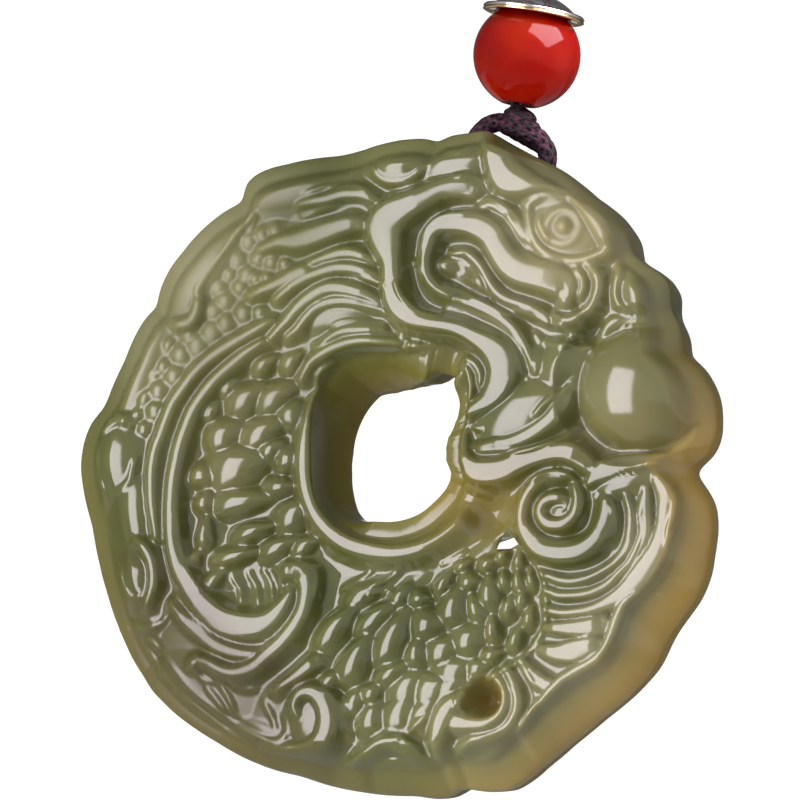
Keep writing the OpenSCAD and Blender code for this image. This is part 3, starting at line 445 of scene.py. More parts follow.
SWIRLS: tuple[Strand, ...] = (
    Strand(0.9, ((-10.6, 11.4, 0.1), (-11.2, 11.1, 0.3), (-13, 10.15, 0.45), (-14.7, 9.3, 0.5),
        (-16.15, 8.4, 0.5), (-17.3, 7.4, 0.5), (-18.4, 6.1, 0.5), (-19.3, 4.9, 0.5), (-19.9, 3.6, 0.5),
        (-20.4, 2.3, 0.5), (-20.9, 1.1, 0.5), (-21.2, -0.4, 0.5), (-21.25, -1.7, 0.5), (-21.2, -3.5, 0.45),
        (-21, -5.2, 0.3), (-20.9, -6.2, 0.1))),
    Strand(1.15, ((-11.4, 9.6, 0.1), (-12.75, 8.8, 0.4), (-13.9, 7.9, 0.5), (-15, 7, 0.5), (-16, 6, 0.55),
        (-16.9, 4.9, 0.55), (-17.6, 3.8, 0.6), (-18.1, 2.6, 0.6), (-18.6, 1.25, 0.6), (-18.9, -0.1, 0.6),
        (-19.2, -1.55, 0.6), (-19.35, -3.2, 0.6), (-19.4, -4.9, 0.6), (-19.3, -6.7, 0.6),
        (-19.05, -7.9, 0.7), (-18.7, -9, 0.8), (-18.2, -9.9, 0.9), (-17.4, -11.1, 1.1), (-16.3, -12.4, 1.3),
        (-14.9, -13.45, 1.4), (-13.3, -14.0, 1.5), (-11.75, -14.1, 1.4), (-10.5, -13.7, 1.1),
        (-9.5, -12.7, 0.7), (-8.8, -11.6, 0.2))),
    Strand(0.45, ((-18.7, -4.5, 0.1), (-18.5, -6.5, 0.15), (-18.1, -8, 0.15), (-17.5, -9.6, 0.15),
        (-16.6, -10.9, 0.1))),
    Strand(0.5, ((-19.4, -10.8, 0.1), (-18.5, -11.9, 0.2), (-16.3, -14.0, 0.2), (-13.4, -15.3, 0.2),
        (-10.6, -15.4, 0.1))),
    Strand(0.85, ((-19.5, -12.0, 0.1), (-18.4, -13.2, 0.45), (-17, -14.4, 0.6), (-15.6, -15.5, 0.65),
        (-14, -16.2, 0.6), (-12.3, -16.5, 0.4), (-11.0, -16.2, 0.1))),
    Strand(1.15, ((-8.9, -9.6, 0.7), (-8.1, -9.7, 0.9), (-7.5, -10.2, 0.9), (-7.25, -11.0, 0.8),
        (-7.3, -12, 0.65), (-7.6, -13.2, 0.65), (-8.4, -14.5, 0.75), (-9.5, -15.7, 0.75),
        (-10.8, -16.7, 0.7), (-12, -17.6, 0.6), (-13.5, -18, 0.45), (-14.7, -17.8, 0.35),
        (-15.9, -17.2, 0.3), (-17, -16.8, 0.2), (-17.7, -17.0, 0.1))),
    Strand(0.6, ((-17.5, -17.2, 0.1), (-17.1, -18.2, 0.2), (-16.2, -18.6, 0.1))),
    Strand(0.6, ((-7.4, -9.0, 0.1), (-6.5, -9.5, 0.2), (-6.2, -10.5, 0.3), (-6.4, -11.9, 0.15))),
    Strand(0.5, ((-15.6, -18.5, 0.1), (-14.9, -19.6, 0.25), (-14.4, -20.8, 0.1))),
    Strand(0.5, ((-16.8, -18.9, 0.1), (-16.0, -19.9, 0.25), (-15.3, -20.9, 0.1))),
    Strand(0.5, ((-14.3, -19.0, 0.1), (-13.2, -19.3, 0.25), (-12.1, -19.3, 0.1))),
    Strand(0.5, ((-11.5, -20.4, 0.1), (-11.0, -21.4, 0.25), (-10.6, -22.5, 0.1))),
    Strand(0.8, ((-10.2, -19.6, 0.1), (-8.6, -18.7, 0.4), (-7.4, -17.9, 0.65), (-6.6, -17.3, 0.6))),
    Strand(0.85, ((-22.8, -6.5, 0.1), (-21.9, -7.2, 0.35), (-21.3, -8.3, 0.45), (-21.1, -9.5, 0.45),
        (-21.2, -10.6, 0.4), (-21.8, -11.9, 0.1))),
    Strand(0.6, ((-24.4, -8.6, 0.1), (-24.3, -9.9, 0.25), (-23.7, -11, 0.3), (-22.9, -11.5, 0.25),
        (-22.2, -11.0, 0.1))),
    Strand(0.6, ((-24.2, -13.0, 0.1), (-22.6, -13.8, 0.25), (-20.9, -13.5, 0.25), (-20.0, -12.7, 0.1))),
    Strand(1.15, ((-8.2, -21.7, 0.15), (-8.4, -20.8, 0.3), (-7.8, -20.0, 0.4), (-6.8, -19.85, 0.6),
        (-5.95, -20.5, 0.9), (-5.5, -21.5, 1.1), (-5.45, -22.6, 1.2), (-5.85, -23.7, 1.1),
        (-6.7, -24.45, 0.9), (-7.9, -24.85, 0.8), (-9.3, -24.9, 0.65), (-10.4, -24.85, 0.5),
        (-11.7, -24.6, 0.2))),
    Strand(0.6, ((-5.7, -19.5, 0.1), (-4.8, -20.3, 0.3), (-4.2, -21.4, 0.35), (-3.9, -22.6, 0.3),
        (-3.9, -23.9, 0.1))),
    Strand(0.95, ((-4.9, -26.6, 0.1), (-3.5, -26, 0.35), (-2.3, -25.2, 0.45), (-1, -24.5, 0.5),
        (0.15, -24.3, 0.6), (1.15, -24.8, 0.7), (1.85, -25.8, 0.4))),
    Strand(0.5, ((1.2, -23.9, 0.1), (2.1, -24.7, 0.2), (2.6, -25.8, 0.1))),
    Strand(0.45, ((-23.2, -14.2, 0.1), (-22.4, -16, 0.2), (-21.3, -17.7, 0.2), (-20.1, -18.9, 0.2),
        (-18.7, -20.2, 0.2), (-17.15, -21.45, 0.2), (-15.6, -22.6, 0.2), (-13.9, -23.7, 0.2),
        (-12.1, -24.5, 0.1))),
    Strand(0.5, ((-22.3, -14.7, 0.1), (-20.3, -16.8, 0.25), (-18.3, -19.2, 0.25), (-16.3, -20.85, 0.25),
        (-14.6, -22.1, 0.25), (-12.3, -23.3, 0.25), (-10.6, -23.7, 0.2), (-9.6, -23.2, 0.15),
        (-9.6, -21.9, 0.1))),
    Strand(0.8, ((-17.2, 13.9, 0.1), (-17.2, 12.9, 0.35), (-17.7, 11.9, 0.45), (-18.6, 11.6, 0.4),
        (-19.6, 11.9, 0.1))),
    Strand(0.65, ((-12.6, 20.7, 0.1), (-14.2, 18.9, 0.4), (-15.7, 16.8, 0.5), (-17.0, 15, 0.4),
        (-17.4, 13.8, 0.2))),
    Strand(0.7, ((-26.2, 2.6, 0.1), (-25.5, 3.4, 0.45), (-24.4, 3.9, 0.5), (-23.5, 3.4, 0.2))),
    Strand(0.6, ((-26.6, 2.0, 0.2), (-26.7, 0, 0.3), (-26.2, -2.2, 0.2))),
    Strand(0.55, ((-22.8, 0.4, 0.1), (-23.3, -1.3, 0.3), (-24.6, -2.4, 0.2))),
    Strand(0.6, ((-1.8, 24.2, 0.1), (-1.2, 23.1, 0.45), (0, 22.55, 0.6), (1.3, 22.6, 0.55),
        (2.3, 23.1, 0.4), (3.0, 24.0, 0.1))),
    Strand(0.5, ((4.6, 25.2, 0.2), (5.9, 25.1, 0.6), (7.0, 25.5, 0.3))),
    Strand(0.4, ((-4.5, -11.3, 0.1), (-3.2, -10.7, 0.2), (-1.9, -9.9, 0.1))),
    Strand(0.4, ((-1.5, -11.1, 0.1), (-0.4, -10.6, 0.2), (0.8, -9.8, 0.1))),
    Strand(0.4, ((-1.7, -12.0, 0.1), (-0.9, -11.8, 0.2), (-0.2, -11.5, 0.1))),
    Strand(0.5, ((4.3, -9.6, 0.1), (5.2, -9.2, 0.25), (6.3, -8.6, 0.1))),
    Strand(0.5, ((-12.9, -9.6, 0.1), (-12.2, -10.9, 0.2), (-11.9, -12.2, 0.1))),
    Strand(0.5, ((-11.6, -9.4, 0.1), (-10.9, -10.6, 0.2), (-10.6, -12.0, 0.1))),
    Strand(0.5, ((-14.2, -9.8, 0.1), (-13.6, -10.9, 0.2), (-13.4, -12.1, 0.1))),
    Strand(0.5, ((-10.3, -9.2, 0.1), (-9.8, -10.2, 0.2), (-9.7, -11.2, 0.1))),
)

DOMES: tuple[Dome, ...] = (
    Dome(12.9, 22.4, 4.9, 2.6, -28, 0.95),
    Dome(15.4, 18.0, 3.5, 2.9, -10, 0.75, 1.4),
    Dome(11.6, 2.9, 4.4, 2.6, 20, 1.05),
    Dome(15.3, 6.4, 2.7, 2.2, 30, 0.95),
    Dome(0.6, 24.3, 2.4, 1.9, 0, 0.8),
    Dome(-9.5, 22.6, 4.4, 1.7, 8, 0.75),
    Dome(-17.6, 16.9, 5.4, 2.7, 48, 1.0),
    Dome(-24.8, 0.8, 2.2, 2.9, 10, 0.8),
    Dome(-23.0, -9.6, 1.7, 2.0, 0, 0.7),
    Dome(-5.0, 11.7, 3.4, 1.2, 8, 0.5),
    Dome(22.0, 12.2, 2.2, 2.8, 15, 1.0),
    Dome(21.3, 14.2, 1.1, 1.2, 20, 1.15),
    Dome(20.9, -3.4, 3.0, 1.3, 12, 0.75),
    Dome(-7.0, -22.0, 1.9, 1.9, 0, 0.55),
    Dome(15.0, -5.7, 1.4, 1.0, 10, 0.6),
    Dome(0.4, -26.6, 3.6, 1.3, 0, 0.6),
    Dome(-23.0, 8.7, 4.6, 1.8, 64, 0.9),
    Dome(-23.1, -3.4, 2.6, 1.3, 95, 0.5),
    Dome(6.0, 24.0, 3.2, 1.5, 5, 0.6),
)

# The pearl at the mouth.
PEARL = Ball(21.15, 4.44, 5.85, -0.6)

# The eye's pupil, a low round swelling on top of the rest.
PUPIL = Dome(15.35, 18.0, 0.75, 0.75, 0, 0.5)

HOLLOWS: tuple[Dome, ...] = (
    Dome(8.3, -20.9, 1.75, 1.9, 10, 2.6),
    Dome(16.7, 8.6, 1.6, 0.9, 30, 0.7),
    Dome(8.3, -5.5, 2.9, 2.1, 35, 0.8),
    Dome(17.6, 9.8, 1.1, 1.2, 0, 0.7),
    Dome(6.3, 14.9, 2.0, 1.1, -30, 0.8),
    Dome(9.9, -8.0, 1.2, 0.9, 20, 1.2),
)

# Scales laid like tiles: centre x, z, half length, half width, turn, height.
SCALES: tuple[Scale, ...] = (
    (0.6, -21.9, 1.7, 1.2, 60, 0.55), (-1.9, -22.3, 1.3, 1.0, 70, 0.5), (2.6, -22.2, 1.6, 1.1, 50, 0.5),
    (5.0, -20.0, 1.5, 0.9, 40, 0.5), (-3.4, -20.9, 1.2, 0.8, 60, 0.5), (-0.6, -24.0, 1.2, 0.8, 30, 0.3),
    (-5.0, -14.7, 2.3, 1.1, 47, 0.85), (-1.4, -13.9, 2.0, 0.95, 35, 0.8), (0.1, -15.6, 2.5, 1.25, 60, 0.95),
    (-3.15, -17.3, 2.3, 1.2, 58, 0.9), (3.1, -14.6, 1.45, 1.35, 0, 0.95),
    (5.45, -13.3, 1.8, 1.25, 70, 0.95), (2.2, -17.0, 1.3, 0.9, 80, 0.75),
    (-0.1, -18.6, 1.5, 0.85, 30, 0.75), (2.4, -12.4, 0.95, 0.7, 0, 0.65), (4.6, -11.3, 1.25, 0.7, 55, 0.75),
    (6.75, -11.2, 0.95, 0.85, 0, 0.75), (7.5, -13.5, 1.3, 0.8, 110, 0.8), (8.65, -12.3, 1.5, 0.95, 90, 0.9),
    (8.9, -15.3, 1.15, 0.6, 90, 0.7), (10.3, -13.5, 1.0, 0.6, 70, 0.7), (11.2, -11.4, 1.1, 0.55, 95, 0.7),
    (6.7, -16.0, 1.5, 1.3, 40, 0.8), (8.7, -17.4, 0.9, 0.7, 20, 0.6), (-1.85, -20.2, 1.0, 0.8, 40, 0.6),
    (3.4, -20.0, 1.7, 1.3, 20, 0.6), (8.4, -9.8, 0.9, 0.6, 30, 0.6), (9.7, -9.2, 0.7, 0.5, 60, 0.55),
    (11.2, -9.7, 0.8, 0.5, 80, 0.6), (11.4, -12.9, 0.9, 0.55, 80, 0.6), (12.1, -14.5, 0.95, 0.6, 80, 0.65),
    (10.9, -16.2, 1.1, 0.65, 70, 0.7), (12.3, -11.3, 0.9, 0.45, 100, 0.6),
    (9.9, -11.3, 0.8, 0.55, 100, 0.6), (4.4, -16.8, 1.5, 1.2, 30, 0.65), (1.2, -19.9, 1.6, 1.2, 50, 0.55),
    (5.3, -18.6, 1.5, 1.2, 20, 0.5), (6.2, -9.9, 0.8, 0.5, 30, 0.55), (-5.6, -19.0, 1.1, 0.7, 30, 0.5),
    (-2.6, -11.9, 1.6, 0.8, 30, 0.5), (0.7, -12.2, 1.1, 0.7, 50, 0.55), (7.4, -18.4, 1.0, 0.8, 10, 0.5),
    (-13.05, 5.0, 1.75, 1.15, 30, 0.75), (-15.1, 2.0, 1.6, 1.3, 35, 0.75),
    (-13.9, -0.6, 2.4, 1.7, 15, 0.85), (-11.6, 2.1, 1.9, 1.2, 30, 0.75), (-10.5, 5.0, 1.7, 1.1, 30, 0.7),
    (-9.3, -0.2, 1.1, 1.0, 0, 0.65), (-10.0, -2.5, 1.3, 0.75, 0, 0.65), (-16.9, -1.3, 0.9, 1.1, 90, 0.6),
    (-13.6, -3.6, 2.3, 1.0, 5, 0.7), (-12.4, -6.2, 1.7, 0.75, 15, 0.7), (-16.6, -6.2, 1.3, 0.7, 80, 0.6),
    (-14.0, -8.2, 1.9, 0.7, 10, 0.65), (-8.7, -4.9, 1.7, 1.2, 40, 0.75), (-11.4, 7.8, 1.1, 0.7, 30, 0.6),
    (-9.0, 7.9, 1.0, 0.7, 40, 0.5), (-9.0, 3.4, 1.1, 1.1, 60, 0.6), (-16.7, -3.6, 0.9, 0.8, 60, 0.55),
    (-10.1, -7.6, 1.6, 0.8, 20, 0.6), (-14.6, 5.9, 0.9, 0.6, 40, 0.5), (-16.1, 4.0, 0.9, 0.6, 50, 0.5),
    (-10.8, 0.6, 1.1, 0.8, 30, 0.6), (-17.6, -8.4, 0.8, 0.6, 60, 0.5), (-15.9, -10.2, 1.1, 0.6, 40, 0.5),
    (-7.8, -7.6, 1.2, 0.7, 30, 0.5),
)

# Pebbled skin between the outer crescent and the mane: centre x, z, radius.
PEBBLES: tuple[Triple, ...] = (
    (-16.6, 15.6, 0.5), (-15.6, 14.7, 0.6), (-13.0, 15.6, 0.6), (-13.6, 14.6, 0.5), (-12.0, 16.9, 0.5),
    (-10.8, 16.6, 0.5), (-13.9, 16.9, 0.6), (-12.9, 18.5, 0.6), (-13.0, 19.6, 0.5), (-15.0, 13.5, 0.6),
    (-14.9, 11.6, 0.6), (-13.3, 12.4, 0.6), (-16.0, 12.7, 0.6), (-19.0, 9.2, 0.6), (-17.5, 9.9, 0.7),
    (-19.6, 7.4, 0.6), (-21.0, 6.2, 0.6), (-21.3, 4.5, 0.6), (-22.4, 5.7, 0.6), (-20.6, 8.2, 0.5),
    (-16.2, 10.9, 0.7), (-11.8, 12.3, 0.5), (-12.2, 15.2, 0.45), (-14.6, 15.7, 0.5), (-11.7, 18.9, 0.5),
    (-15.2, 16.2, 0.4), (-18.2, 10.6, 0.5), (-20.3, 10.1, 0.5), (-21.6, 7.7, 0.5), (-22.9, 4.2, 0.45),
    (-10.5, 19.2, 0.5), (-9.6, 16.3, 0.45), (-11.2, 15.2, 0.4), (-22.3, 3.0, 0.5),
)

# How far in from the face's outer end the relief closes in on the edge, by the angle round the hole.
OUTER_EASE_BY_ANGLE: Table = ((-75, 1.3), (-60, 0.45), (-15, 0.45), (-5, 1.3))

# The same from the face's inner end.
INNER_EASE_BY_ANGLE: Table = ((-110, 0.4), (-90, 0.8), (120, 0.8), (150, 0.4))

# Slope of the outer band, by the angle round the hole.
STEEP_BY_ANGLE: Table = ((-167, 0.36), (-137, 0.58), (-107, 0.58), (-77, 0.36))

# Least height of the sloping edge, by the angle round the hole.
EDGE_FALL_BY_ANGLE: Table = ((-125, 0.8), (-112, 1.7), (-80, 1.7), (-68, 0.8))

# Least height of the hole's lip, by the angle round the hole.
LIP_FALL_BY_ANGLE: Table = ((20, 0.5), (35, 1.2), (75, 1.2), (90, 0.5))


def by_angle(table: Table, angle: Array) -> Array:
    """Values of a table of angles and values at other angles, in degrees."""
    return np.interp(angle, *np.array(table).T)


@dataclass(frozen=True)
class Ramp:
    """A straight ramp from 0 to 1.

    Attributes:
        gone: Where it is 0.
        full: Where it is 1.
        least: The lowest it gets.
        most: The highest it gets.
    """

    gone: float
    full: float
    least: float = 0.0
    most: float = 1.0

    def at(self, value: Array) -> Array:
        """The ramp at each value."""
        return np.clip((value - self.gone) / (self.full - self.gone), self.least, self.most)


def smooth_route(points: Array, steps: int) -> Array:
    """Rounds a route between its points.

    Args:
        points: One row per point.
        steps: Steps between two points.

    Returns:
        The finer route.
    """
    n = len(points) - 1
    rows = []
    for i in range(n):
        a, b = points[max(i - 1, 0)], points[i]
        c, d = points[i + 1], points[min(i + 2, n)]
        for t in np.arange(steps) / steps:
            rows.append(0.5 * (2 * b + (c - a) * t + (2 * a - 5 * b + 4 * c - d) * t * t
                               + (3 * b - a - 3 * c + d) * t ** 3))
    rows.append(points[n])
    return np.array(rows)


@dataclass(frozen=True)
class Relief:
    """Height of the carved face over the stone's middle plane, in millimetres.

    Attributes:
        floor: Height of the face's ground at its two ends.
        crown: How much higher it is between them.
        crown_r: Radius of its highest line.
        crown_w: Distance from that line to the ends.
        deepest: Level of the ground between the shapes, from the face's.
        unrest: How far that ground rises and falls.
        wave_x: How often it does so to the right, and where it starts.
        wave_z: The same upwards.
        crease: Width of the rounded crease where two shapes meet.
        skirt: Slope outside a shape.
        dome_skirt: Slope outside a swelling.
        pebble: A pebble's spread over its radius, and its height.
        lap: How far a scale is drawn out over its neighbours.
        leaf: How much a scale narrows to its tip.
        scale_end: Where a scale passes into its skirt, as a share of its size.
        scale_h: A scale's bulge and depth, as shares of its height.
        spine: How far a scale rises to its tip.
        fine: Strands up to this height are fine lines, laid on what is there.
        fine_h: Height of a fine line, as a share of its strand's.
        fine_w: Half width of a fine line: the fixed part and the flat's share.
        side_w: Width of a strand's sides: the fixed part and the height's share.
        arch: Rise of a strand's flat, as a share of its width.
        flat_w: Least width of a strand's flat.
        tip: A strand's height at its ends and its gain inwards, as shares.
        spread: How far a strand's skirt is followed.
        steps: Steps between two points of a strand's route.
        trough: Width and depth of the trough round the pearl.
        trough_bend: How square that trough's wall is.
    """

    floor: float = 2.55
    crown: float = 0.55
    crown_r: float = 16.0
    crown_w: float = 12.0
    deepest: float = -2.2
    unrest: float = 0.3
    wave_x: Point = (1.3, 0.6)
    wave_z: Point = (1.1, 0.4)
    crease: float = 0.07
    skirt: float = 0.36
    dome_skirt: float = 0.66
    pebble: Point = (1.5, 0.12)
    lap: float = 1.28
    leaf: float = 0.35
    scale_end: float = 1.2
    scale_h: Point = (1.3, 0.3)
    spine: float = 0.16
    fine: float = 0.6
    fine_h: float = 0.6
    fine_w: Point = (0.36, 0.5)
    side_w: Point = (0.42, 0.62)
    arch: float = 0.0625
    flat_w: float = 0.05
    tip: Point = (0.6, 2.6)
    spread: float = 7.0
    steps: int = 4
    trough: Point = (0.9, 1.1)
    trough_bend: int = 8

    def height(self, x: Array, z: Array) -> Array:
        """Height of the face at each point.

        Args:
            x: Points to the right of the hole's middle, mm.
            z: Points above it, mm.

        Returns:
            The heights over the middle plane, mm.
        """
        rows, shift = self.wave_x
        columns, rise = self.wave_z
        ground = self.deepest + self.unrest * np.sin(rows * x + shift) * np.sin(columns * z + rise)
        for dome in DOMES:
            ground = self._merge(ground, self._swelling(dome, x, z))
        for scale in SCALES:
            ground = self._merge(ground, self._scale(scale, x, z))
        for px, pz, radius in PEBBLES:
            q = np.hypot(x - px, z - pz) / (self.pebble[0] * radius)
            fall = self.skirt * (np.minimum(q, 1) ** 2 + np.maximum(q - 1, 0))
            ground = self._merge(ground, self.pebble[1] - fall)
        for strand in sorted((*MANE, *FACE, *RING_AND_FIN, *SWIRLS), key=lambda t: t.height <= self.fine):
            self._add_strand(ground, x, z, strand)
        ground += PUPIL.height * np.clip(1 - PUPIL.radius(x, z) ** 2, 0, 1)
        for hollow in HOLLOWS:
            ground -= hollow.height * np.clip(1 - hollow.radius(x, z) ** 2, 0, 1) ** 2
        base = self.floor + self.crown * (1 - ((np.hypot(x, z) - self.crown_r) / self.crown_w) ** 2)
        width, depth = self.trough
        trough = np.hypot(x - PEARL.x, z - PEARL.z) / (PEARL.radius + width)
        face = base + ground - depth * np.clip(1 - trough ** self.trough_bend, 0, 1)
        return self._merge(face, PEARL.height(x, z))

    def _merge(self, a: Array, b: Array) -> Array:
        """The larger of two heights, with a narrow rounded crease between them."""
        k = self.crease
        h = np.clip(0.5 + 0.5 * (b - a) / k, 0, 1)
        return a + (b - a) * h + k * h * (1 - h) * 0.5

    def _swelling(self, dome: Dome, x: Array, z: Array) -> Array:
        """Height of one swelling."""
        q = dome.radius(x, z)
        over = np.maximum(q - 1, 0) * min(dome.rx, dome.rz)
        return dome.height * (1 - np.minimum(q, 1) ** (1 + dome.flat)) - self.dome_skirt * over

    def _scale(self, scale: Scale, x: Array, z: Array) -> Array:
        """Height of one leaf-shaped scale with a low spine."""
        cx, cz, length, width, turn, height = scale
        along, across = turned(x, z, (cx, cz), turn)
        along = along / (length * self.lap)
        tip = np.clip(along, -1, 1)
        q = np.hypot(along, across / (width * self.lap * (1 - self.leaf * tip)))
        bulge, sunk = self.scale_h
        over = np.maximum(q - self.scale_end, 0) * width
        rise = height * (bulge * (1 - np.minimum(q, self.scale_end) ** 2) - sunk)
        return rise + self.spine * tip - self.skirt * over

    def _add_strand(self, ground: Array, x: Array, z: Array, strand: Strand) -> None:
        """Merges one strand into the ground, in place.

        Args:
            ground: Heights so far, changed where the strand reaches.
            x: Points, mm.
            z: Points, mm.
            strand: The strand.
        """
        route = smooth_route(np.array(strand.route), self.steps)
        low = strand.height <= self.fine
        side = (self.side_w[0] + self.side_w[1] * strand.height) * strand.slope
        reach = route[:, 2].max() / 2 + side + (0 if low else self.spread)
        (x0, z0), (x1, z1) = route[:, :2].min(axis=0) - reach, route[:, :2].max(axis=0) + reach
        near = np.nonzero((x > x0) & (x < x1) & (z > z0) & (z < z1))[0]
        if near.size == 0:
            return
        edge, width, taper = self._beside(route, x[near], z[near])
        if low:
            q = np.clip((edge + width / 2) / (self.fine_w[0] + self.fine_w[1] * width), 0, 1)
            ground[near] += self.fine_h * strand.height * taper * (1 - q * q) ** 2
            return
        over = np.maximum(edge, 0)
        q = np.minimum(over / side, 1)
        rise = (strand.height - self.arch * width) * taper
        fallen = rise * (1 - q * q * (3 - 2 * q)) - self.skirt * over
        arched = rise + self.arch * width * (1 - (1 + 2 * edge / width) ** 2)
        ground[near] = self._merge(ground[near], np.where(edge < 0, arched, fallen))

    def _beside(self, route: Array, x: Array, z: Array) -> list[Array]:
        """Where points lie beside a strand.

        Args:
            route: Rows of x, z and the flat's width, mm.
            x: Points, mm.
            z: Points, mm.

        Returns:
            Distances out from the flat's edge, widths of the flat, and shares of the full height.
        """
        best = [np.full(x.size, np.inf), np.ones(x.size), np.ones(x.size)]
        total = len(route) - 1
        for i in range(total):
            a, step = route[i], route[i + 1] - route[i]
            long = max(float(step[:2] @ step[:2]), 1e-9)
            t = np.clip(((x - a[0]) * step[0] + (z - a[1]) * step[1]) / long, 0, 1)
            width = np.maximum(a[2] + step[2] * t, self.flat_w)
            edge = np.hypot(x - a[0] - step[0] * t, z - a[1] - step[1] * t) - width / 2
            share = (i + t) / total
            taper = np.minimum(1, self.tip[0] + self.tip[1] * np.minimum(share, 1 - share))
            closer = edge < best[0]
            best = [np.where(closer, new, old) for new, old in zip((edge, width, taper), best)]
        return best


@dataclass(frozen=True)
class Spot:
    """A soft oval spot on the face.

    Attributes:
        x: Its middle, to the right of the hole's middle, mm.
        z: Its middle, above the hole's middle, mm.
        wide: Its half width, mm.
        high: Its half height, mm.
        share: Its strength.
    """

    x: float
    z: float
    wide: float
    high: float
    share: float = 1.0

    def over(self, x: Array, z: Array) -> Array:
        """The spot's strength at each point."""
        return self.share * np.exp(-(((x - self.x) / self.wide) ** 2 + ((z - self.z) / self.high) ** 2))


@dataclass(frozen=True)
class Sector:
    """A soft sector of the ring.

    Attributes:
        middle: Its middle, degrees.
        full: How far from its middle it is full, degrees.
        gone: How far from its middle it has gone, degrees.
        starts: Radius at which it starts, mm.
        filled: Radius from which it is full, mm.
        share: Its strength.
        least: Its least share within the radius at which it starts.
        stops: Radius at which it stops, mm.
    """

    middle: float
    full: float
    gone: float
    starts: float
    filled: float
    share: float = 1.0
    least: float = 0.0
    stops: float = math.inf

    def over(self, x: Array, z: Array) -> Array:
        """The sector's strength at each point."""
        r, angle = np.hypot(x, z), np.degrees(np.arctan2(z, x))
        away = np.abs((angle - self.middle + 180) % 360 - 180)
        around, outwards = Ramp(self.gone, self.full), Ramp(self.starts, self.filled, self.least)
        return self.share * around.at(away) * outwards.at(r) * (r < self.stops)


@dataclass(frozen=True)
class Tints:
    """Share of each tint and of the dull polish over the stone's skin.

    Attributes:
        amber: Spots of painted amber glow, light shown coming through the stone: the eye, under the pearl,
            the nose's side and its curl.
        pale: The paler, greyer tint, partly the stone's own tone and partly painted light that lifts thinner
            edges and slopes the lamps leave dark: the upper left rim, the brow, the pearl and the fin's edge.
        shade: The darker, browner tint: the lower left, and the flank's scales.
        dull: The dull polish: the upper left and the mane, round the eye, and the lower left's petals.
        rim: The rim's painted amber glow of light through the stone's edge, by the distance in from the
            widest line.
        rim_ways: The rim's strength by x, and by z twice.
        wall: The painted amber glow of light through the hole's wall, by the distance out from the hole and
            by depth.
        wall_share: The strength of that painted glow.
        lit: The light through the hole's wall, by radius, depth and z.
    """

    # Painted light: spots of amber glow, as of light through the stone.
    amber: tuple[Spot, ...] = (Spot(16, 16, 5, 4, 0.1), Spot(22, 0.5, 5, 2.5, 0.12),
                               Spot(8, -5, 5, 3.5, 0.25), Spot(8.3, -20.9, 1.4, 1.4, 0.5))
    # Partly painted light: a paler tint lifting thinner edges and slopes the lamps leave dark.
    pale: tuple[Spot | Sector, ...] = (Sector(138, 0, 32, 19, 23, 0.55), Spot(15, 17.5, 8, 6.5, 0.9),
                                       Spot(20, 2.6, 4.5, 3.5, 0.4), Sector(-38, 13.6, 47.6, 20, 24, 0.75))
    shade: tuple[Sector, ...] = (Sector(-132, 14.4, 38.4, 17.5, 20.5, 0.9),
                                 Sector(180, 24, 54, 7, 9, 0.35, stops=19))
    dull: tuple[Spot | Sector, ...] = (Sector(132, 16.8, 44.8, 12, 19, least=0.45),
                                       Spot(15.8, 18, 4, 3.4), Sector(-130, 9, 27, 19, 21.5, 0.55))
    # Painted light: amber glow of light through the stone at the rim and on the hole's wall.
    rim: Ramp = Ramp(3, 0)
    rim_ways: tuple[Ramp, ...] = (Ramp(-2, 22, 0.1), Ramp(12, -4, 0.08), Ramp(-72, -12, 0.85, 1.25))
    wall: tuple[Ramp, ...] = (Ramp(3.2, 0), Ramp(-1.5, 3.5, 0.3))
    wall_share: float = 0.25
    lit: tuple[Ramp, ...] = (Ramp(10.5, 9.1), Ramp(-2.3, 1.4), Ramp(-7.5, -4, 0.25))

    def shares(self, points: Array, out: Array, inn: Array) -> dict[str, Array]:
        """Shares at each point of the skin.

        Args:
            points: The skin's points, mm.
            out: How far each lies in from the sides' widest line, mm.
            inn: How far each lies out from the hole's drawn line, mm.

        Returns:
            The shares by the name of the attribute that holds them.
        """
        x, y, z = np.moveaxis(points, -1, 0)
        rim = self.rim.at(out) * self._along(self.rim_ways, x, z, z)
        wall = self.wall_share * self._along(self.wall, inn, y)
        shares = {
            # Painted light: amber glow of light through the stone, at the rim, on the hole's wall and in
            # spots.
            "painted_glow": rim + wall + sum(spot.over(x, z) for spot in self.amber),
            # Partly painted light: paler on thinner edges and on slopes the lamps leave dark.
            "pale": sum(part.over(x, z) for part in self.pale),
            "shade": np.maximum.reduce([part.over(x, z) for part in self.shade]),
            "lit": self._along(self.lit, np.hypot(x, z), y, z),
            "dull": np.maximum.reduce([part.over(x, z) for part in self.dull]),
        }
        return {name: np.clip(share, 0, 1) for name, share in shares.items()}

    @staticmethod
    def _along(ramps: tuple[Ramp, ...], *values: Array) -> Array:
        """Product of ramps, each over its own values."""
        return math.prod(ramp.at(value) for ramp, value in zip(ramps, values))


def feed(tree: Tree, node: Node, inputs: dict[str | int, Value]) -> Node:
    """Sets a node's inputs.

    Args:
        tree: The node's tree.
        node: The node.
        inputs: A socket to link or a plain value, by the input's name or number.

    Returns:
        The node.
    """
    for key, value in inputs.items():
        if isinstance(value, Socket):
            tree.links.new(value, node.inputs[key])
        else:
            node.inputs[key].default_value = value
    return node


def add_node(tree: Tree, kind: str, inputs: dict[str | int, Value], **settings: object) -> Node:
    """Adds a node to a tree.

    Args:
        tree: The tree.
        kind: The node's type.
        inputs: Its inputs, as feed takes them.
        **settings: Its other settings, such as its operation.

    Returns:
        The node.
    """
    node = tree.nodes.new(kind)
    for key, value in settings.items():
        setattr(node, key, value)
    return feed(tree, node, inputs)


def add_maths(tree: Tree, operation: str, *values: Value) -> Socket:
    """Adds a math node on sockets or numbers and returns its result."""
    return add_node(tree, "ShaderNodeMath", dict(enumerate(values)), operation=operation).outputs[0]


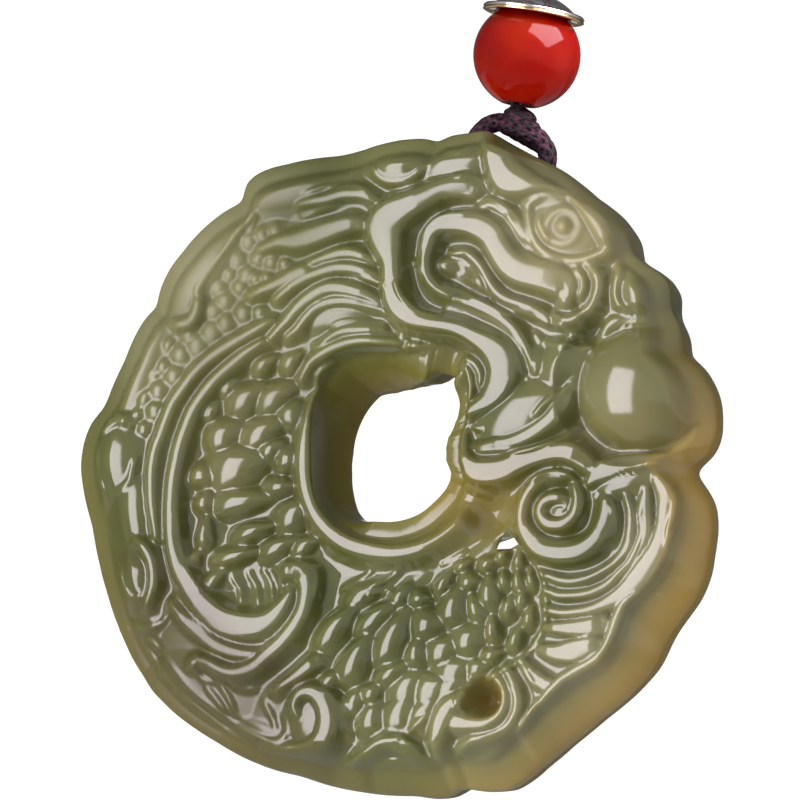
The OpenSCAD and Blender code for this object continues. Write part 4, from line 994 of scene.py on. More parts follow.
def new_group(name: str, inputs: dict[str, float], output: tuple[str, str]) -> tuple[Tree, Node, Node]:
    """A shader node group with a vector, some numbers and one output.

    Args:
        name: The group's name.
        inputs: Names of the numbers and their defaults.
        output: The output's name and socket type.

    Returns:
        The group, its input node and its output node.
    """
    tree = bpy.data.node_groups.new(name, "ShaderNodeTree")
    tree.interface.new_socket("Vector", in_out="INPUT", socket_type="NodeSocketVector")
    for key, value in inputs.items():
        socket = tree.interface.new_socket(key, in_out="INPUT", socket_type="NodeSocketFloat")
        socket.default_value = value
    tree.interface.new_socket(output[0], in_out="OUTPUT", socket_type=output[1])
    return tree, tree.nodes.new("NodeGroupInput"), tree.nodes.new("NodeGroupOutput")


def add_noise(tree: Tree, start: Node, detail: float) -> Socket:
    """Adds noise on a group's own vector and scale and returns its value."""
    inputs = {"Vector": start.outputs["Vector"], "Scale": start.outputs["Scale"], "Detail": detail}
    return add_node(tree, "ShaderNodeTexNoise", inputs).outputs["Fac"]


def build_clouds() -> Tree:
    """Soft cloudy mask: size and contrast in, a mask out."""
    defaults = {"Scale": 60.0, "Low": 0.35, "High": 0.65}
    tree, start, end = new_group("stone_clouds", defaults, ("Mask", "NodeSocketFloat"))
    span = add_node(tree, "ShaderNodeMapRange", {"Value": add_noise(tree, start, 3.0),
                                                 "From Min": start.outputs["Low"],
                                                 "From Max": start.outputs["High"]})
    feed(tree, end, {"Mask": span.outputs["Result"]})
    return tree


def build_ripple() -> Tree:
    """Very low hand-polish waviness: size and strength in, a normal out."""
    defaults = {"Scale": 900.0, "Strength": 0.04}
    tree, start, end = new_group("polish_ripple", defaults, ("Normal", "NodeSocketVector"))
    bump = add_node(tree, "ShaderNodeBump", {"Strength": start.outputs["Strength"], "Distance": 0.0001,
                                             "Height": add_noise(tree, start, 1.0)})
    feed(tree, end, {"Normal": bump.outputs["Normal"]})
    return tree


@dataclass
class Toolbox:
    """Node groups shared by the finishes.

    Attributes:
        clouds: Soft cloudy mask.
        ripple: Low waviness of the surface.
    """

    clouds: Tree = field(default_factory=build_clouds)
    ripple: Tree = field(default_factory=build_ripple)

    @staticmethod
    def place(tree: Tree, group: Tree, **values: float) -> Node:
        """Puts a group in a material on Object coordinates, with its own values."""
        coords = add_node(tree, "ShaderNodeTexCoord", {})
        inputs = {"Vector": coords.outputs["Object"], **values}
        return add_node(tree, "ShaderNodeGroup", inputs, node_tree=group)

    @staticmethod
    def mix(tree: Tree, mask: Socket, below: Socket | Colour, over: Colour) -> Socket:
        """Lays one colour over another by a mask and returns the result."""
        first = below if isinstance(below, Socket) else (*below, 1.0)
        inputs = {0: mask, 6: first, 7: (*over, 1.0)}
        return add_node(tree, "ShaderNodeMix", inputs, data_type="RGBA").outputs[2]


@dataclass(frozen=True)
class Finish:
    """A material of two clouded colours under a rippled polish.

    Attributes:
        name: The material's name.
        dark: Colour between the clouds.
        light: Colour of the clouds.
        cloud: Scale of the clouds, and the levels between which they fill.
        wave: Scale and strength of the ripple.
        roughness: Roughness of the polish.
        sheen: The specular level.
        metal: 1 for bare metal.
        glow: How much light enters.
        glow_tint: How far it travels, by colour.
        glow_depth: How far it travels, m.
    """

    name: str
    dark: Colour
    light: Colour
    cloud: Triple
    wave: Point
    roughness: float
    sheen: float = 0.5
    metal: float = 0.0
    glow: float = 0.0
    glow_tint: Triple = (1.0, 0.2, 0.1)
    glow_depth: float = 0.05

    def build(self, tools: Toolbox) -> Material:
        """Makes the material.

        Args:
            tools: The shared node groups.

        Returns:
            The material.
        """
        mat = bpy.data.materials.new(self.name)
        mat.use_nodes = True
        tree = mat.node_tree
        size, low, high = self.cloud
        clouds = tools.place(tree, tools.clouds, Scale=size, Low=low, High=high)
        ripple = tools.place(tree, tools.ripple, Scale=self.wave[0], Strength=self.wave[1])
        colour = self.tinted(tree, tools.mix(tree, clouds.outputs["Mask"], self.dark, self.light))
        feed(tree, tree.nodes["Principled BSDF"], {"Base Color": colour, "Normal": ripple.outputs["Normal"],
                                                   **self.inputs(tree)})
        return mat

    def tinted(self, tree: Tree, colour: Socket) -> Socket:
        """The colour with the finish's own tints over it."""
        return colour

    def inputs(self, tree: Tree) -> dict[str, Value]:
        """The shader's other inputs by name."""
        return {"Roughness": self.roughness, "Specular IOR Level": self.sheen, "Metallic": self.metal,
                "Subsurface Weight": self.glow, "Subsurface Radius": self.glow_tint,
                "Subsurface Scale": self.glow_depth}


@dataclass(frozen=True)
class JadeFinish(Finish):
    """Polished olive jade, tinted and dulled by the skin's shares.

    Attributes:
        shade: The darker, browner tint.
        pale: The paler, greyer tint, partly painted light on thinner edges and dark slopes.
        lit: The tint where light comes through.
        amber: Painted amber glow of light shining through thinner stone.
        dull: Roughness of the dull polish.
        dull_sheen: How much the dull polish takes from the sheen.
        lit_sheen: The specular level of lit stone.
        sheen_end: The lit share at which that level is reached.
        ior: Index of refraction.
    """

    name: str = "polished_jade"
    dark: Colour = (0.058, 0.066, 0.0140)
    light: Colour = (0.105, 0.111, 0.034)
    cloud: Triple = (75.0, 0.36, 0.64)
    wave: Point = (420.0, 0.06)
    roughness: float = 0.15
    glow: float = 0.55
    glow_tint: Triple = (1.0, 0.85, 0.4)
    glow_depth: float = 0.0022
    shade: Colour = (0.052, 0.050, 0.012)
    # Partly painted light: paler, greyer colour for thinner edges and dark slopes.
    pale: Colour = (0.195, 0.188, 0.094)
    lit: Colour = (0.125, 0.108, 0.012)
    # Painted light: the amber colour of light shining through the stone.
    amber: Colour = (0.370, 0.235, 0.040)
    dull: float = 0.44
    dull_sheen: float = 0.16
    lit_sheen: float = 0.1
    sheen_end: float = 0.4
    ior: float = 1.62

    @staticmethod
    def _share(tree: Tree, name: str) -> Socket:
        """One of the skin's shares."""
        return add_node(tree, "ShaderNodeAttribute", {}, attribute_name=name).outputs["Fac"]

    def tinted(self, tree: Tree, colour: Socket) -> Socket:
        """The colour with the four tints over it; the lit and amber tints are light through the stone,
        painted in, and the pale tint is partly painted light.
        """
        for name, tint in (("shade", self.shade), ("pale", self.pale), ("lit", self.lit),
                           ("painted_glow", self.amber)):
            colour = Toolbox.mix(tree, self._share(tree, name), colour, tint)
        return colour

    def inputs(self, tree: Tree) -> dict[str, Value]:
        """The shader's other inputs: roughness and sheen follow the shares."""
        dull = self._share(tree, "dull")
        polish = add_node(tree, "ShaderNodeMapRange", {"Value": dull, "To Min": self.roughness,
                                                       "To Max": self.dull})
        both = add_maths(tree, "MULTIPLY_ADD", dull, self.dull_sheen, self._share(tree, "lit"))
        sheen = add_node(tree, "ShaderNodeMapRange", {"Value": both, "From Max": self.sheen_end,
                                                      "To Min": self.sheen, "To Max": self.lit_sheen})
        return {**super().inputs(tree), "IOR": self.ior, "Roughness": polish.outputs["Result"],
                "Specular IOR Level": sheen.outputs["Result"]}


@dataclass(frozen=True)
class BeadFinish(Finish):
    """Polished red agate with faint bands."""

    name: str = "red_agate"
    dark: Colour = (0.190, 0.002, 0.0003)
    light: Colour = (0.235, 0.010, 0.0015)
    cloud: Triple = (150.0, 0.4, 0.62)
    wave: Point = (500.0, 0.02)
    roughness: float = 0.08
    sheen: float = 0.2
    glow: float = 1.0
    glow_tint: Triple = (1.0, 0.1, 0.05)
    glow_depth: float = 0.005


@dataclass(frozen=True)
class CordFinish(Finish):
    """Dark purple yarn with lighter worn fibres."""

    name: str = "purple_yarn"
    dark: Colour = (0.004, 0.0012, 0.0026)
    light: Colour = (0.062, 0.013, 0.030)
    cloud: Triple = (2200.0, 0.46, 0.7)
    wave: Point = (6000.0, 0.5)
    roughness: float = 0.62
    sheen: float = 0.2


@dataclass(frozen=True)
class CapFinish(Finish):
    """Polished metal; its second colour is that of light handling wear."""

    cloud: Triple = (900.0, 0.45, 0.7)
    wave: Point = (1500.0, 0.05)
    roughness: float = 0.12
    metal: float = 1.0


def new_object(name: str, data: bpy.types.ID) -> Object:
    """A new object in the scene, at the origin."""
    obj = bpy.data.objects.new(name, data)
    bpy.context.scene.collection.objects.link(obj)
    return obj


def bmesh_object(name: str, bm: bmesh.types.BMesh) -> Object:
    """A new object from a bmesh, which is freed."""
    mesh = bpy.data.meshes.new(name)
    bm.to_mesh(mesh)
    bm.free()
    return new_object(name, mesh)


def ring_object(name: str, verts: Array, matrix: Matrix) -> Object:
    """A smooth-shaded closed skin over sections that follow each other round a ring.

    Args:
        name: The object's name.
        verts: Points by section, by place in the section, in the frame that the matrix starts from.
        matrix: Places the points in the row frame, in metres.

    Returns:
        The object, at the origin, with its place in its mesh.
    """
    n, m = verts.shape[:2]
    i, j = np.meshgrid(np.arange(n), np.arange(m), indexing="ij")
    next_i, next_j = (i + 1) % n, (j + 1) % m
    faces = np.stack([i * m + j, next_i * m + j, next_i * m + next_j, i * m + next_j], axis=-1)
    turn = np.array(matrix)
    placed = verts.reshape(-1, 3) @ turn[:3, :3].T + turn[:3, 3]
    mesh = bpy.data.meshes.new(name)
    mesh.vertices.add(n * m)
    mesh.vertices.foreach_set("co", placed.astype(np.float32).ravel())
    mesh.loops.add(faces.size)
    mesh.loops.foreach_set("vertex_index", faces.astype(np.int32).ravel())
    mesh.polygons.add(n * m)
    mesh.polygons.foreach_set("loop_start", np.arange(0, faces.size, 4, dtype=np.int32))
    mesh.update(calc_edges=True)
    mesh.validate()
    mesh.shade_smooth()
    return new_object(name, mesh)


def evaluated_mesh(obj: Object) -> Mesh:
    """A mesh of its own from an object with its modifiers."""
    return bpy.data.meshes.new_from_object(obj.evaluated_get(bpy.context.evaluated_depsgraph_get()))


def cut(obj: Object, cutter: Object) -> None:
    """Cuts one closed mesh out of another and removes the cutter.

    Args:
        obj: The object that is cut.
        cutter: The object that is cut out of it.
    """
    mod = obj.modifiers.new("cut", "BOOLEAN")
    mod.operation = "DIFFERENCE"
    mod.solver = "MANIFOLD"
    mod.object = cutter
    result = evaluated_mesh(obj)
    obj.modifiers.remove(mod)
    obj.data = result
    bpy.data.objects.remove(cutter, do_unlink=True)


@dataclass(frozen=True)
class Drilling:
    """Cutters for the cord's way behind the ridge and for the small opening beside the nose curl.

    Attributes:
        facets: Facets round the bore.
        slot: Width, depth and height of each slot's cutter, mm.
        slot_rise: Height of its middle over the bore, mm.
        corners: Corners of the opening, x and z, mm.
        ends: How the corners pass to the opening's front and rear: depth, enlargement, and shift in x and z.
    """

    facets: int = 48
    slot: Triple = (2.3, 3.56, 8.0)
    slot_rise: float = 2.9
    corners: Table = ((10.0, -7.0), (11.0, -8.4), (9.2, -8.4))
    ends: tuple[tuple[float, float, float, float], ...] = ((-8, 1.0, 2.0, -0.82), (8, 1.6, -9.85, 6.32))

    def build(self) -> list[Object]:
        """Builds the bore's cutter, the two slots' and the opening's."""
        place = HANG.edge_matrix() @ Matrix.Translation((0, 0, -HANG.bore_depth))
        bore = bmesh.new()
        bmesh.ops.create_cone(bore, cap_ends=True, segments=self.facets, radius1=HANG.bore_r,
                              radius2=HANG.bore_r, depth=2 * HANG.foot,
                              matrix=place @ Matrix.Rotation(math.pi / 2, 4, "Y"))
        out = [bmesh_object("bore_cutter", bore)]
        for side in (-1, 1):
            slot = bmesh.new()
            shift = Matrix.Translation((side * HANG.foot, 0, self.slot_rise))
            bmesh.ops.create_cube(slot, size=1.0, matrix=place @ shift @ Matrix.Diagonal((*self.slot, 1)))
            out.append(bmesh_object("slot_cutter", slot))
        return [*out, self._opening()]

    def _opening(self) -> Object:
        """A three-sided cutter that widens to the rear."""
        gap = bmesh.new()
        m = HANG.stone_matrix()
        front, rear = ([gap.verts.new(m @ Vector((grow * x + dx, y, grow * z + dz))) for x, z in self.corners]
                       for y, grow, dx, dz in self.ends)
        gap.faces.new(front)
        gap.faces.new(rear[::-1])
        for i in range(len(front)):
            gap.faces.new((front[i - 1], rear[i - 1], rear[i], front[i]))
        bmesh.ops.recalc_face_normals(gap, faces=gap.faces)
        return bmesh_object("gap_cutter", gap)


@dataclass
class Lines:
    """Lines round the hole that every section of the stone passes, one value per section.

    Attributes:
        rounds: How many sections there are.
        blur: Sections over which the drawn lines are averaged, each way.
        from_right: How far the camera looks from the right, as a sine.
        from_below: How far it looks from below.
        spare: How far the seen wall reaches on past what the camera sees.
        angle: The section's angle, degrees.
        hole: Radius of the hole's drawn line, mm.
        outer: Radius of the sides' widest line, mm.
        start: Radius where the face starts, mm.
        end: Radius where the face ends, mm.
        seen: Share of the hole's left and top, whose wall the camera sees.
    """

    rounds: int
    blur: int = 3
    from_right: float = 0.34
    from_below: float = 0.14
    spare: float = 0.08
    angle: Array = field(init=False)
    hole: Array = field(init=False)
    outer: Array = field(init=False)
    start: Array = field(init=False)
    end: Array = field(init=False)
    seen: Array = field(init=False)

    def __post_init__(self) -> None:
        """Draws the lines."""
        self.angle = -180 + 360 * np.arange(self.rounds) / self.rounds
        self.hole = self._radius(HOLE)
        self.outer = self._radius(OUTLINE) + by_angle(SWELL_BY_ANGLE, self.angle)
        self.start = self.hole + by_angle(LIP_BY_ANGLE, self.angle)
        self.end = self.outer - by_angle(EDGE_BY_ANGLE, self.angle)
        seen = np.clip((self.from_below * self.sin - self.from_right * self.cos + self.spare)
                       / self.from_right, 0, 1)
        self.seen = seen * seen * (3 - 2 * seen)

    @property
    def cos(self) -> Array:
        """Cosine of each section's angle."""
        return np.cos(np.radians(self.angle))

    @property
    def sin(self) -> Array:
        """Sine of each section's angle."""
        return np.sin(np.radians(self.angle))

    def _radius(self, points: Table) -> Array:
        """Radius of a closed line at each section, averaged over a few sections each way."""
        p = np.array(points)
        a, r = np.degrees(np.arctan2(p[:, 1], p[:, 0])), np.hypot(p[:, 0], p[:, 1])
        order = np.argsort(a)
        radius = np.interp(self.angle, a[order], r[order], period=360)
        weights = np.bartlett(2 * self.blur + 3)[1:-1]
        around = np.concatenate([radius[-self.blur:], radius, radius[:self.blur]])
        return np.convolve(around, weights / weights.sum(), "valid")


@dataclass(frozen=True)
class Stone:
    """The carved stone, as one skin over sections round its hole. Lengths are in mm.

    Attributes:
        rounds: Sections round the hole.
        across: Points over the face in each section.
        bends: Points over each rounding.
        back: Points over the back, its ends counted.
        half_t: Half the thickness at the rim.
        back_in: How far the back's edge stands in from the outline.
        hole_in: Width of the rounding behind the hole's narrowest line, on the right.
        low: Height that the relief closes in on near the face's ends.
        hold: Share of the relief that is left there.
        dip: How far the face dips there.
        inner_band: Width of the inner band that slopes into the hole.
        over_edge: Angles at which a strand runs over the edge, and over how many degrees.
        hole_waist: Height of the hole's narrowest line: on the right, and on the left and top.
        hole_out: How far that line stands out, in the same two places.
        bend: How the roundings of edge and lip bend: across, down the edge, down the lip.
    """

    rounds: int = 680
    across: int = 112
    bends: int = 9
    back: int = 8
    half_t: float = 4.75
    back_in: float = 1.2
    hole_in: float = 1.1
    low: float = 2.4
    hold: float = 0.5
    dip: float = 0.6
    inner_band: float = 0.5
    over_edge: Triple = (68.0, 45.0, 7.0)
    hole_waist: Point = (2.2, -4.3)
    hole_out: Point = (-0.35, 0.6)
    bend: Triple = (1.8, 0.95, 1.15)

    def build(self, finish: Material) -> Object:
        """Builds and dresses the stone.

        Args:
            finish: The jade's material.

        Returns:
            The stone, riding on its body.
        """
        lines = Lines(self.rounds)
        r, h = self._sections(lines)
        verts = np.stack([r * lines.cos[:, None], -h, r * lines.sin[:, None]], axis=-1)
        obj = ring_object("carved_stone", verts, HANG.stone_matrix())
        shares = Tints().shares(verts, lines.outer[:, None] - r, r - lines.hole[:, None])
        for name, values in shares.items():
            layer = obj.data.attributes.new(name, "FLOAT", "POINT")
            layer.data.foreach_set("value", values.ravel().astype(np.float32))
        for cutter in Drilling().build():
            cut(obj, cutter)
        obj.data.materials.clear()
        obj.data.materials.append(finish)
        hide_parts("jade_carving")
        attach(obj, Body.STONE.value)
        return obj

    def _face(self, lines: Lines) -> tuple[Array, Array]:
        """Radii and heights of the carved face, one row per section."""
        start, end, angle = (v[:, None] for v in (lines.start, lines.end, lines.angle))
        r = start + (end - start) * np.linspace(0, 1, self.across)
        x, z = r * lines.cos[:, None], r * lines.sin[:, None]
        h = Relief().height(x.ravel(), z.ravel()).reshape(x.shape)
        away = np.minimum((r - start) / by_angle(INNER_EASE_BY_ANGLE, angle),
                          (end - r) / by_angle(OUTER_EASE_BY_ANGLE, angle))
        *strands, width = self.over_edge
        ridge = np.maximum.reduce([np.exp(-(((angle - strand) / width) ** 2)) for strand in strands])
        closed = np.clip(1 - away, 0, 1) ** 2 * (1 - ridge)
        outward = (np.maximum(0, by_angle(SHED_BY_ANGLE, angle) - (end - r))
                   + np.maximum(0, self.inner_band - (r - start)))
        held = self.low + (h - self.low) * (1 - (1 - self.hold) * closed)
        return r, held - self.dip * closed - by_angle(STEEP_BY_ANGLE, angle) * outward

    def _sections(self, lines: Lines) -> tuple[Array, Array]:
        """Radii and heights of whole sections: face, outer edge, back and the hole's wall."""
        r, h = self._face(lines)
        first, last = h[:, 0], h[:, -1]
        mid = np.minimum(by_angle(WAIST_BY_ANGLE, lines.angle),
                         last - by_angle(EDGE_FALL_BY_ANGLE, lines.angle))
        rear_ins = (self.hole_in, self.half_t + self.hole_waist[1])
        waist, stand, rear_in = (right + (seen - right) * lines.seen for right, seen in
                                 (self.hole_waist, self.hole_out, rear_ins))
        throat = np.minimum(waist, first - by_angle(LIP_FALL_BY_ANGLE, lines.angle))
        narrow = lines.hole + stand
        across, edge_down, lip_down = self.bend
        steps = np.arange(1, self.bends + 1) / self.bends
        quarter = steps * math.pi / 2
        columns = list(zip(r.T, h.T))
        columns += [(lines.end + (lines.outer - lines.end) * (1 - (1 - t) ** across),
                     last + (mid - last) * t ** edge_down) for t in steps]
        columns += [(lines.outer - self.back_in * (1 - math.cos(t)), mid - (self.half_t + mid) * math.sin(t))
                    for t in quarter[::2]]
        rear = np.linspace(lines.outer - self.back_in, narrow + rear_in, self.back)[1:-1]
        columns += [(row, np.full_like(row, -self.half_t)) for row in rear]
        columns += [(narrow + rear_in * (1 - math.cos(t)), throat - (self.half_t + throat) * math.sin(t))
                    for t in quarter[::-2]]
        columns += [(narrow + (lines.start - narrow) * (1 - t) ** across,
                     first + (throat - first) * t ** lip_down) for t in steps[-2::-1]]
        radii, heights = zip(*columns)
        return np.stack(radii, axis=1), np.stack(heights, axis=1)


def build_braid_tree(material: Material) -> Tree:
    """Geometry Nodes: yarns wound both ways round a curve.

    Args:
        material: What the yarns are made of.

    Returns:
        The tree, with inputs Count, Lay radius, Yarn radius, Turns and Step.
    """
    tree = bpy.data.node_groups.new("wound_yarns", "GeometryNodeTree")
    tree.interface.new_socket("Geometry", in_out="INPUT", socket_type="NodeSocketGeometry")
    for name, kind, value in (("Count", "NodeSocketInt", 4), ("Lay radius", "NodeSocketFloat", 0.0005),
                              ("Yarn radius", "NodeSocketFloat", 0.0002), ("Turns", "NodeSocketFloat", 4.0),
                              ("Step", "NodeSocketFloat", 0.00025)):
        socket = tree.interface.new_socket(name, in_out="INPUT", socket_type=kind)
        socket.default_value = value
    tree.interface.new_socket("Geometry", in_out="OUTPUT", socket_type="NodeSocketGeometry")
    given, end = tree.nodes.new("NodeGroupInput").outputs, tree.nodes.new("NodeGroupOutput")
    kinds = ("GeometryNodeSplineParameter", "GeometryNodeInputNormal", "GeometryNodeInputTangent")
    factor, up, tangent = (add_node(tree, kind, {}).outputs[0] for kind in kinds)
    side = add_node(tree, "ShaderNodeVectorMath", {0: tangent, 1: up}, operation="CROSS_PRODUCT").outputs[0]
    line = add_node(tree, "GeometryNodeResampleCurve", {"Curve": given["Geometry"], "Length": given["Step"]},
                    mode="LENGTH").outputs[0]
    line = add_node(tree, "GeometryNodeSetCurveNormal", {0: line}, mode="MINIMUM_TWIST").outputs[0]
    for name, value in (("lay_side", side), ("lay_up", up)):
        inputs = {"Geometry": line, "Name": name, "Value": value}
        line = add_node(tree, "GeometryNodeStoreNamedAttribute", inputs, data_type="FLOAT_VECTOR").outputs[0]
    joined = add_node(tree, "GeometryNodeJoinGeometry", {})
    for way in (1.0, -1.0):
        copies = add_node(tree, "GeometryNodeDuplicateElements", {"Geometry": line, "Amount": given["Count"]},
                          domain="SPLINE")
        phase = add_maths(tree, "DIVIDE", copies.outputs["Duplicate Index"], given["Count"])
        turns = add_maths(tree, "MULTIPLY", add_maths(tree, "MULTIPLY", factor, given["Turns"]), way)
        angle = add_maths(tree, "MULTIPLY", add_maths(tree, "ADD", turns, phase), math.tau)
        parts = []
        for name, wave in (("lay_side", "COSINE"), ("lay_up", "SINE")):
            read = add_node(tree, "GeometryNodeInputNamedAttribute", {"Name": name}, data_type="FLOAT_VECTOR")
            reach = add_maths(tree, "MULTIPLY", add_maths(tree, wave, angle), given["Lay radius"])
            parts.append(add_node(tree, "ShaderNodeVectorMath", {0: read.outputs[0], "Scale": reach},
                                  operation="SCALE").outputs[0])
        offset = add_node(tree, "ShaderNodeVectorMath", dict(enumerate(parts))).outputs[0]
        move = add_node(tree, "GeometryNodeSetPosition", {"Geometry": copies.outputs["Geometry"],
                                                          "Offset": offset})
        tree.links.new(move.outputs[0], joined.inputs[0])
    profile = add_node(tree, "GeometryNodeCurvePrimitiveCircle", {"Resolution": 7,
                                                                  "Radius": given["Yarn radius"]})
    skin = add_node(tree, "GeometryNodeCurveToMesh", {"Curve": joined.outputs[0], "Fill Caps": True,
                                                      "Profile Curve": profile.outputs["Curve"]})
    for kind, inputs in (("GeometryNodeSetShadeSmooth", {}), ("GeometryNodeRealizeInstances", {}),
                         ("GeometryNodeSetMaterial", {"Material": material})):
        skin = add_node(tree, kind, {"Geometry": skin.outputs[0], **inputs})
    feed(tree, end, {"Geometry": skin.outputs[0]})
    return tree


@dataclass(frozen=True)
class Lay:
    """How one cord is wound.

    Attributes:
        radius: Radius of the cord, mm.
        yarn: Radius of one yarn, mm.
        count: Yarns wound each way.
        overlap: How much of a yarn's radius it stands inside the cord's.
        pitch: Length of one turn, in radii of the cord.
        step: Length of a yarn's steps, m.
    """

    radius: float
    yarn: float
    count: int = 5
    overlap: float = 0.95
    pitch: float = 7.0
    step: float = 0.00018


@dataclass(frozen=True)
class Knot:
    """The cord's turns round the neck under the bead. Pairs are for the lowest turn and the highest, mm.

    Attributes:
        turns: How many turns there are.
        steps: Points of the route.
        start: Angle of the first point, radians.
        height: Height over the ridge's edge.
        reach: Half the turn's width.
        centre: Its middle, to the right of the ridge's.
        depth: Half its depth.
    """

    turns: float = 3.4
    steps: int = 130
    start: float = 0.6
    height: Point = (0.94, 2.8)
    reach: Point = (2.1, 0.6)
    centre: Point = (0.25, -0.85)
    depth: Point = (0.62, 0.72)

    def route(self) -> Array:
        """Points of the route in the row frame, in metres."""
        rows = []
        for t in np.linspace(0, 1, self.steps + 1):
            angle = math.tau * self.turns * t + self.start
            height, reach, centre, depth = (a + (b - a) * t for a, b in
                                            (self.height, self.reach, self.centre, self.depth))
            point = Vector((centre + reach * math.cos(angle), depth * math.sin(angle), height))
            rows.append(HANG.edge_matrix() @ point)
        return np.array(rows)


@dataclass(frozen=True)
class CordWork:
    """The cord: its lower turn in the stone, the loop, and the knot under the bead.

    Attributes:
        turn: How the lower turn is wound.
        loop: How the two strands in the bead and the free loop are wound.
        knot: How the knot's cord is wound.
        apart: Half the gap between the two strands in the bead, mm.
        steps: Steps between two points of a route.
    """

    turn: Lay = Lay(0.8, 0.30)
    loop: Lay = Lay(0.6, 0.22)
    knot: Lay = Lay(0.62, 0.26)
    apart: float = 0.05
    steps: int = 5

    def build(self, finish: Material) -> list[Object]:
        """Builds the three cord pieces.

        Args:
            finish: The yarn's material.

        Returns:
            The pieces, riding on the cord's body.
        """
        tree = build_braid_tree(finish)
        in_bore = HANG.edge_matrix() @ Matrix.Translation((0, 0, -HANG.bore_depth))
        bight = self._wound("cord_turn", self._route(self._turn_points(), in_bore), self.turn, tree)
        line = self._route(self._loop_points(), HANG.line_matrix())
        loop = self._wound("cord_hanging_loop", line, self.loop, tree)
        knot = self._wound("cord_tied_knot", Knot().route(), self.knot, tree)
        for piece, node in ((bight, "cord_bight"), (loop, "cord_loop"), (knot, "cord_knot")):
            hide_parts(node)
            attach(piece, Body.CORD.value)
        return [bight, loop, knot]

    @staticmethod
    def _turn_points() -> list[Point]:
        """Left half of the lower turn's route, in the frame of the bore."""
        foot, d = HANG.foot, HANG.bore_depth
        return [(-foot + 2.6, d + 1.7), (-foot + 1.5, d + 1.36), (-foot + 0.5, d + 0.62), (-foot, d - 0.8),
                (-foot + 0.15, 1.0), (-foot + 0.7, 0.15), (-2.0, 0.0), (-0.8, 0.0)]

    def _loop_points(self) -> list[Point]:
        """Left half of the loop's route, over the ridge's edge."""
        x, top, h = self.loop.radius + self.apart, HANG.loop_top, HANG.loop_h
        b, r = HANG.bead_z, HANG.bead_d / 2
        return [(-x, b - r + 0.3), (-x, b), (-x, b + r), (-x, top - h + 0.8), (-0.2 * h, top - 0.62 * h),
                (-0.26 * h, top - 0.3 * h), (-0.16 * h, top - 0.02 * h), (-0.4, top + self.loop.radius)]

    def _route(self, half: list[Point], matrix: Matrix) -> Array:
        """A flat route and its mirror image as one, rounded, in the row frame, in metres."""
        whole = half + [(-x, z) for x, z in reversed(half)]
        return np.array([matrix @ Vector((x, 0, z)) for x, z in smooth_route(np.array(whole), self.steps)])

    @staticmethod
    def _wound(name: str, route: Array, lay: Lay, tree: Tree) -> Object:
        """One braided piece along a route.

        Args:
            name: The piece's name.
            route: Points of the route, in metres.
            lay: How the cord is wound.
            tree: The braid's node tree.

        Returns:
            The piece as a plain mesh.
        """
        curve = bpy.data.curves.new(name, "CURVE")
        curve.dimensions = "3D"
        spline = curve.splines.new("POLY")
        spline.points.add(len(route) - 1)
        spline.points.foreach_set("co", np.column_stack([route, np.ones(len(route))]).ravel())
        length = float(np.linalg.norm(np.diff(route, axis=0), axis=1).sum()) / MM
        obj = new_object(name, curve)
        mod = obj.modifiers.new("yarns", "NODES")
        mod.node_group = tree
        values = {"Count": lay.count, "Lay radius": (lay.radius - lay.yarn * lay.overlap) * MM,
                  "Yarn radius": lay.yarn * MM, "Turns": length / (lay.radius * lay.pitch), "Step": lay.step}
        for item in tree.interface.items_tree:
            if item.item_type == "SOCKET" and item.in_out == "INPUT" and item.name in values:
                mod[item.identifier] = values[item.name]
        mesh = evaluated_mesh(obj)
        bpy.data.objects.remove(obj, do_unlink=True)
        LOG.info("%s: %d faces along %.1f mm", name, len(mesh.polygons), length)
        return new_object(name, mesh)


def lathe(name: str, profile: list[Point], steps: int = 96) -> Object:
    """Turns a closed profile about the cord's line into a ring round the bead's middle.

    Args:
        name: The object's name.
        profile: The profile's radii and heights over the bead's middle, mm.
        steps: Sections of the ring.

    Returns:
        The ring, at its place.
    """
    r, z = np.array(profile).T
    angle = math.tau * np.arange(steps) / steps
    verts = np.stack([np.outer(np.cos(angle), r), np.outer(np.sin(angle), r),
                      np.broadcast_to(z + HANG.bead_z, (steps, len(z)))], axis=-1)
    return ring_object(name, verts, HANG.line_matrix())


def arc(radius: float, start: float, end: float, count: int) -> list[Point]:
    """Points of an arc about the bead's middle, between two angles from the level, in radians."""
    return [(radius * math.cos(t), radius * math.sin(t)) for t in np.linspace(start, end, count)]


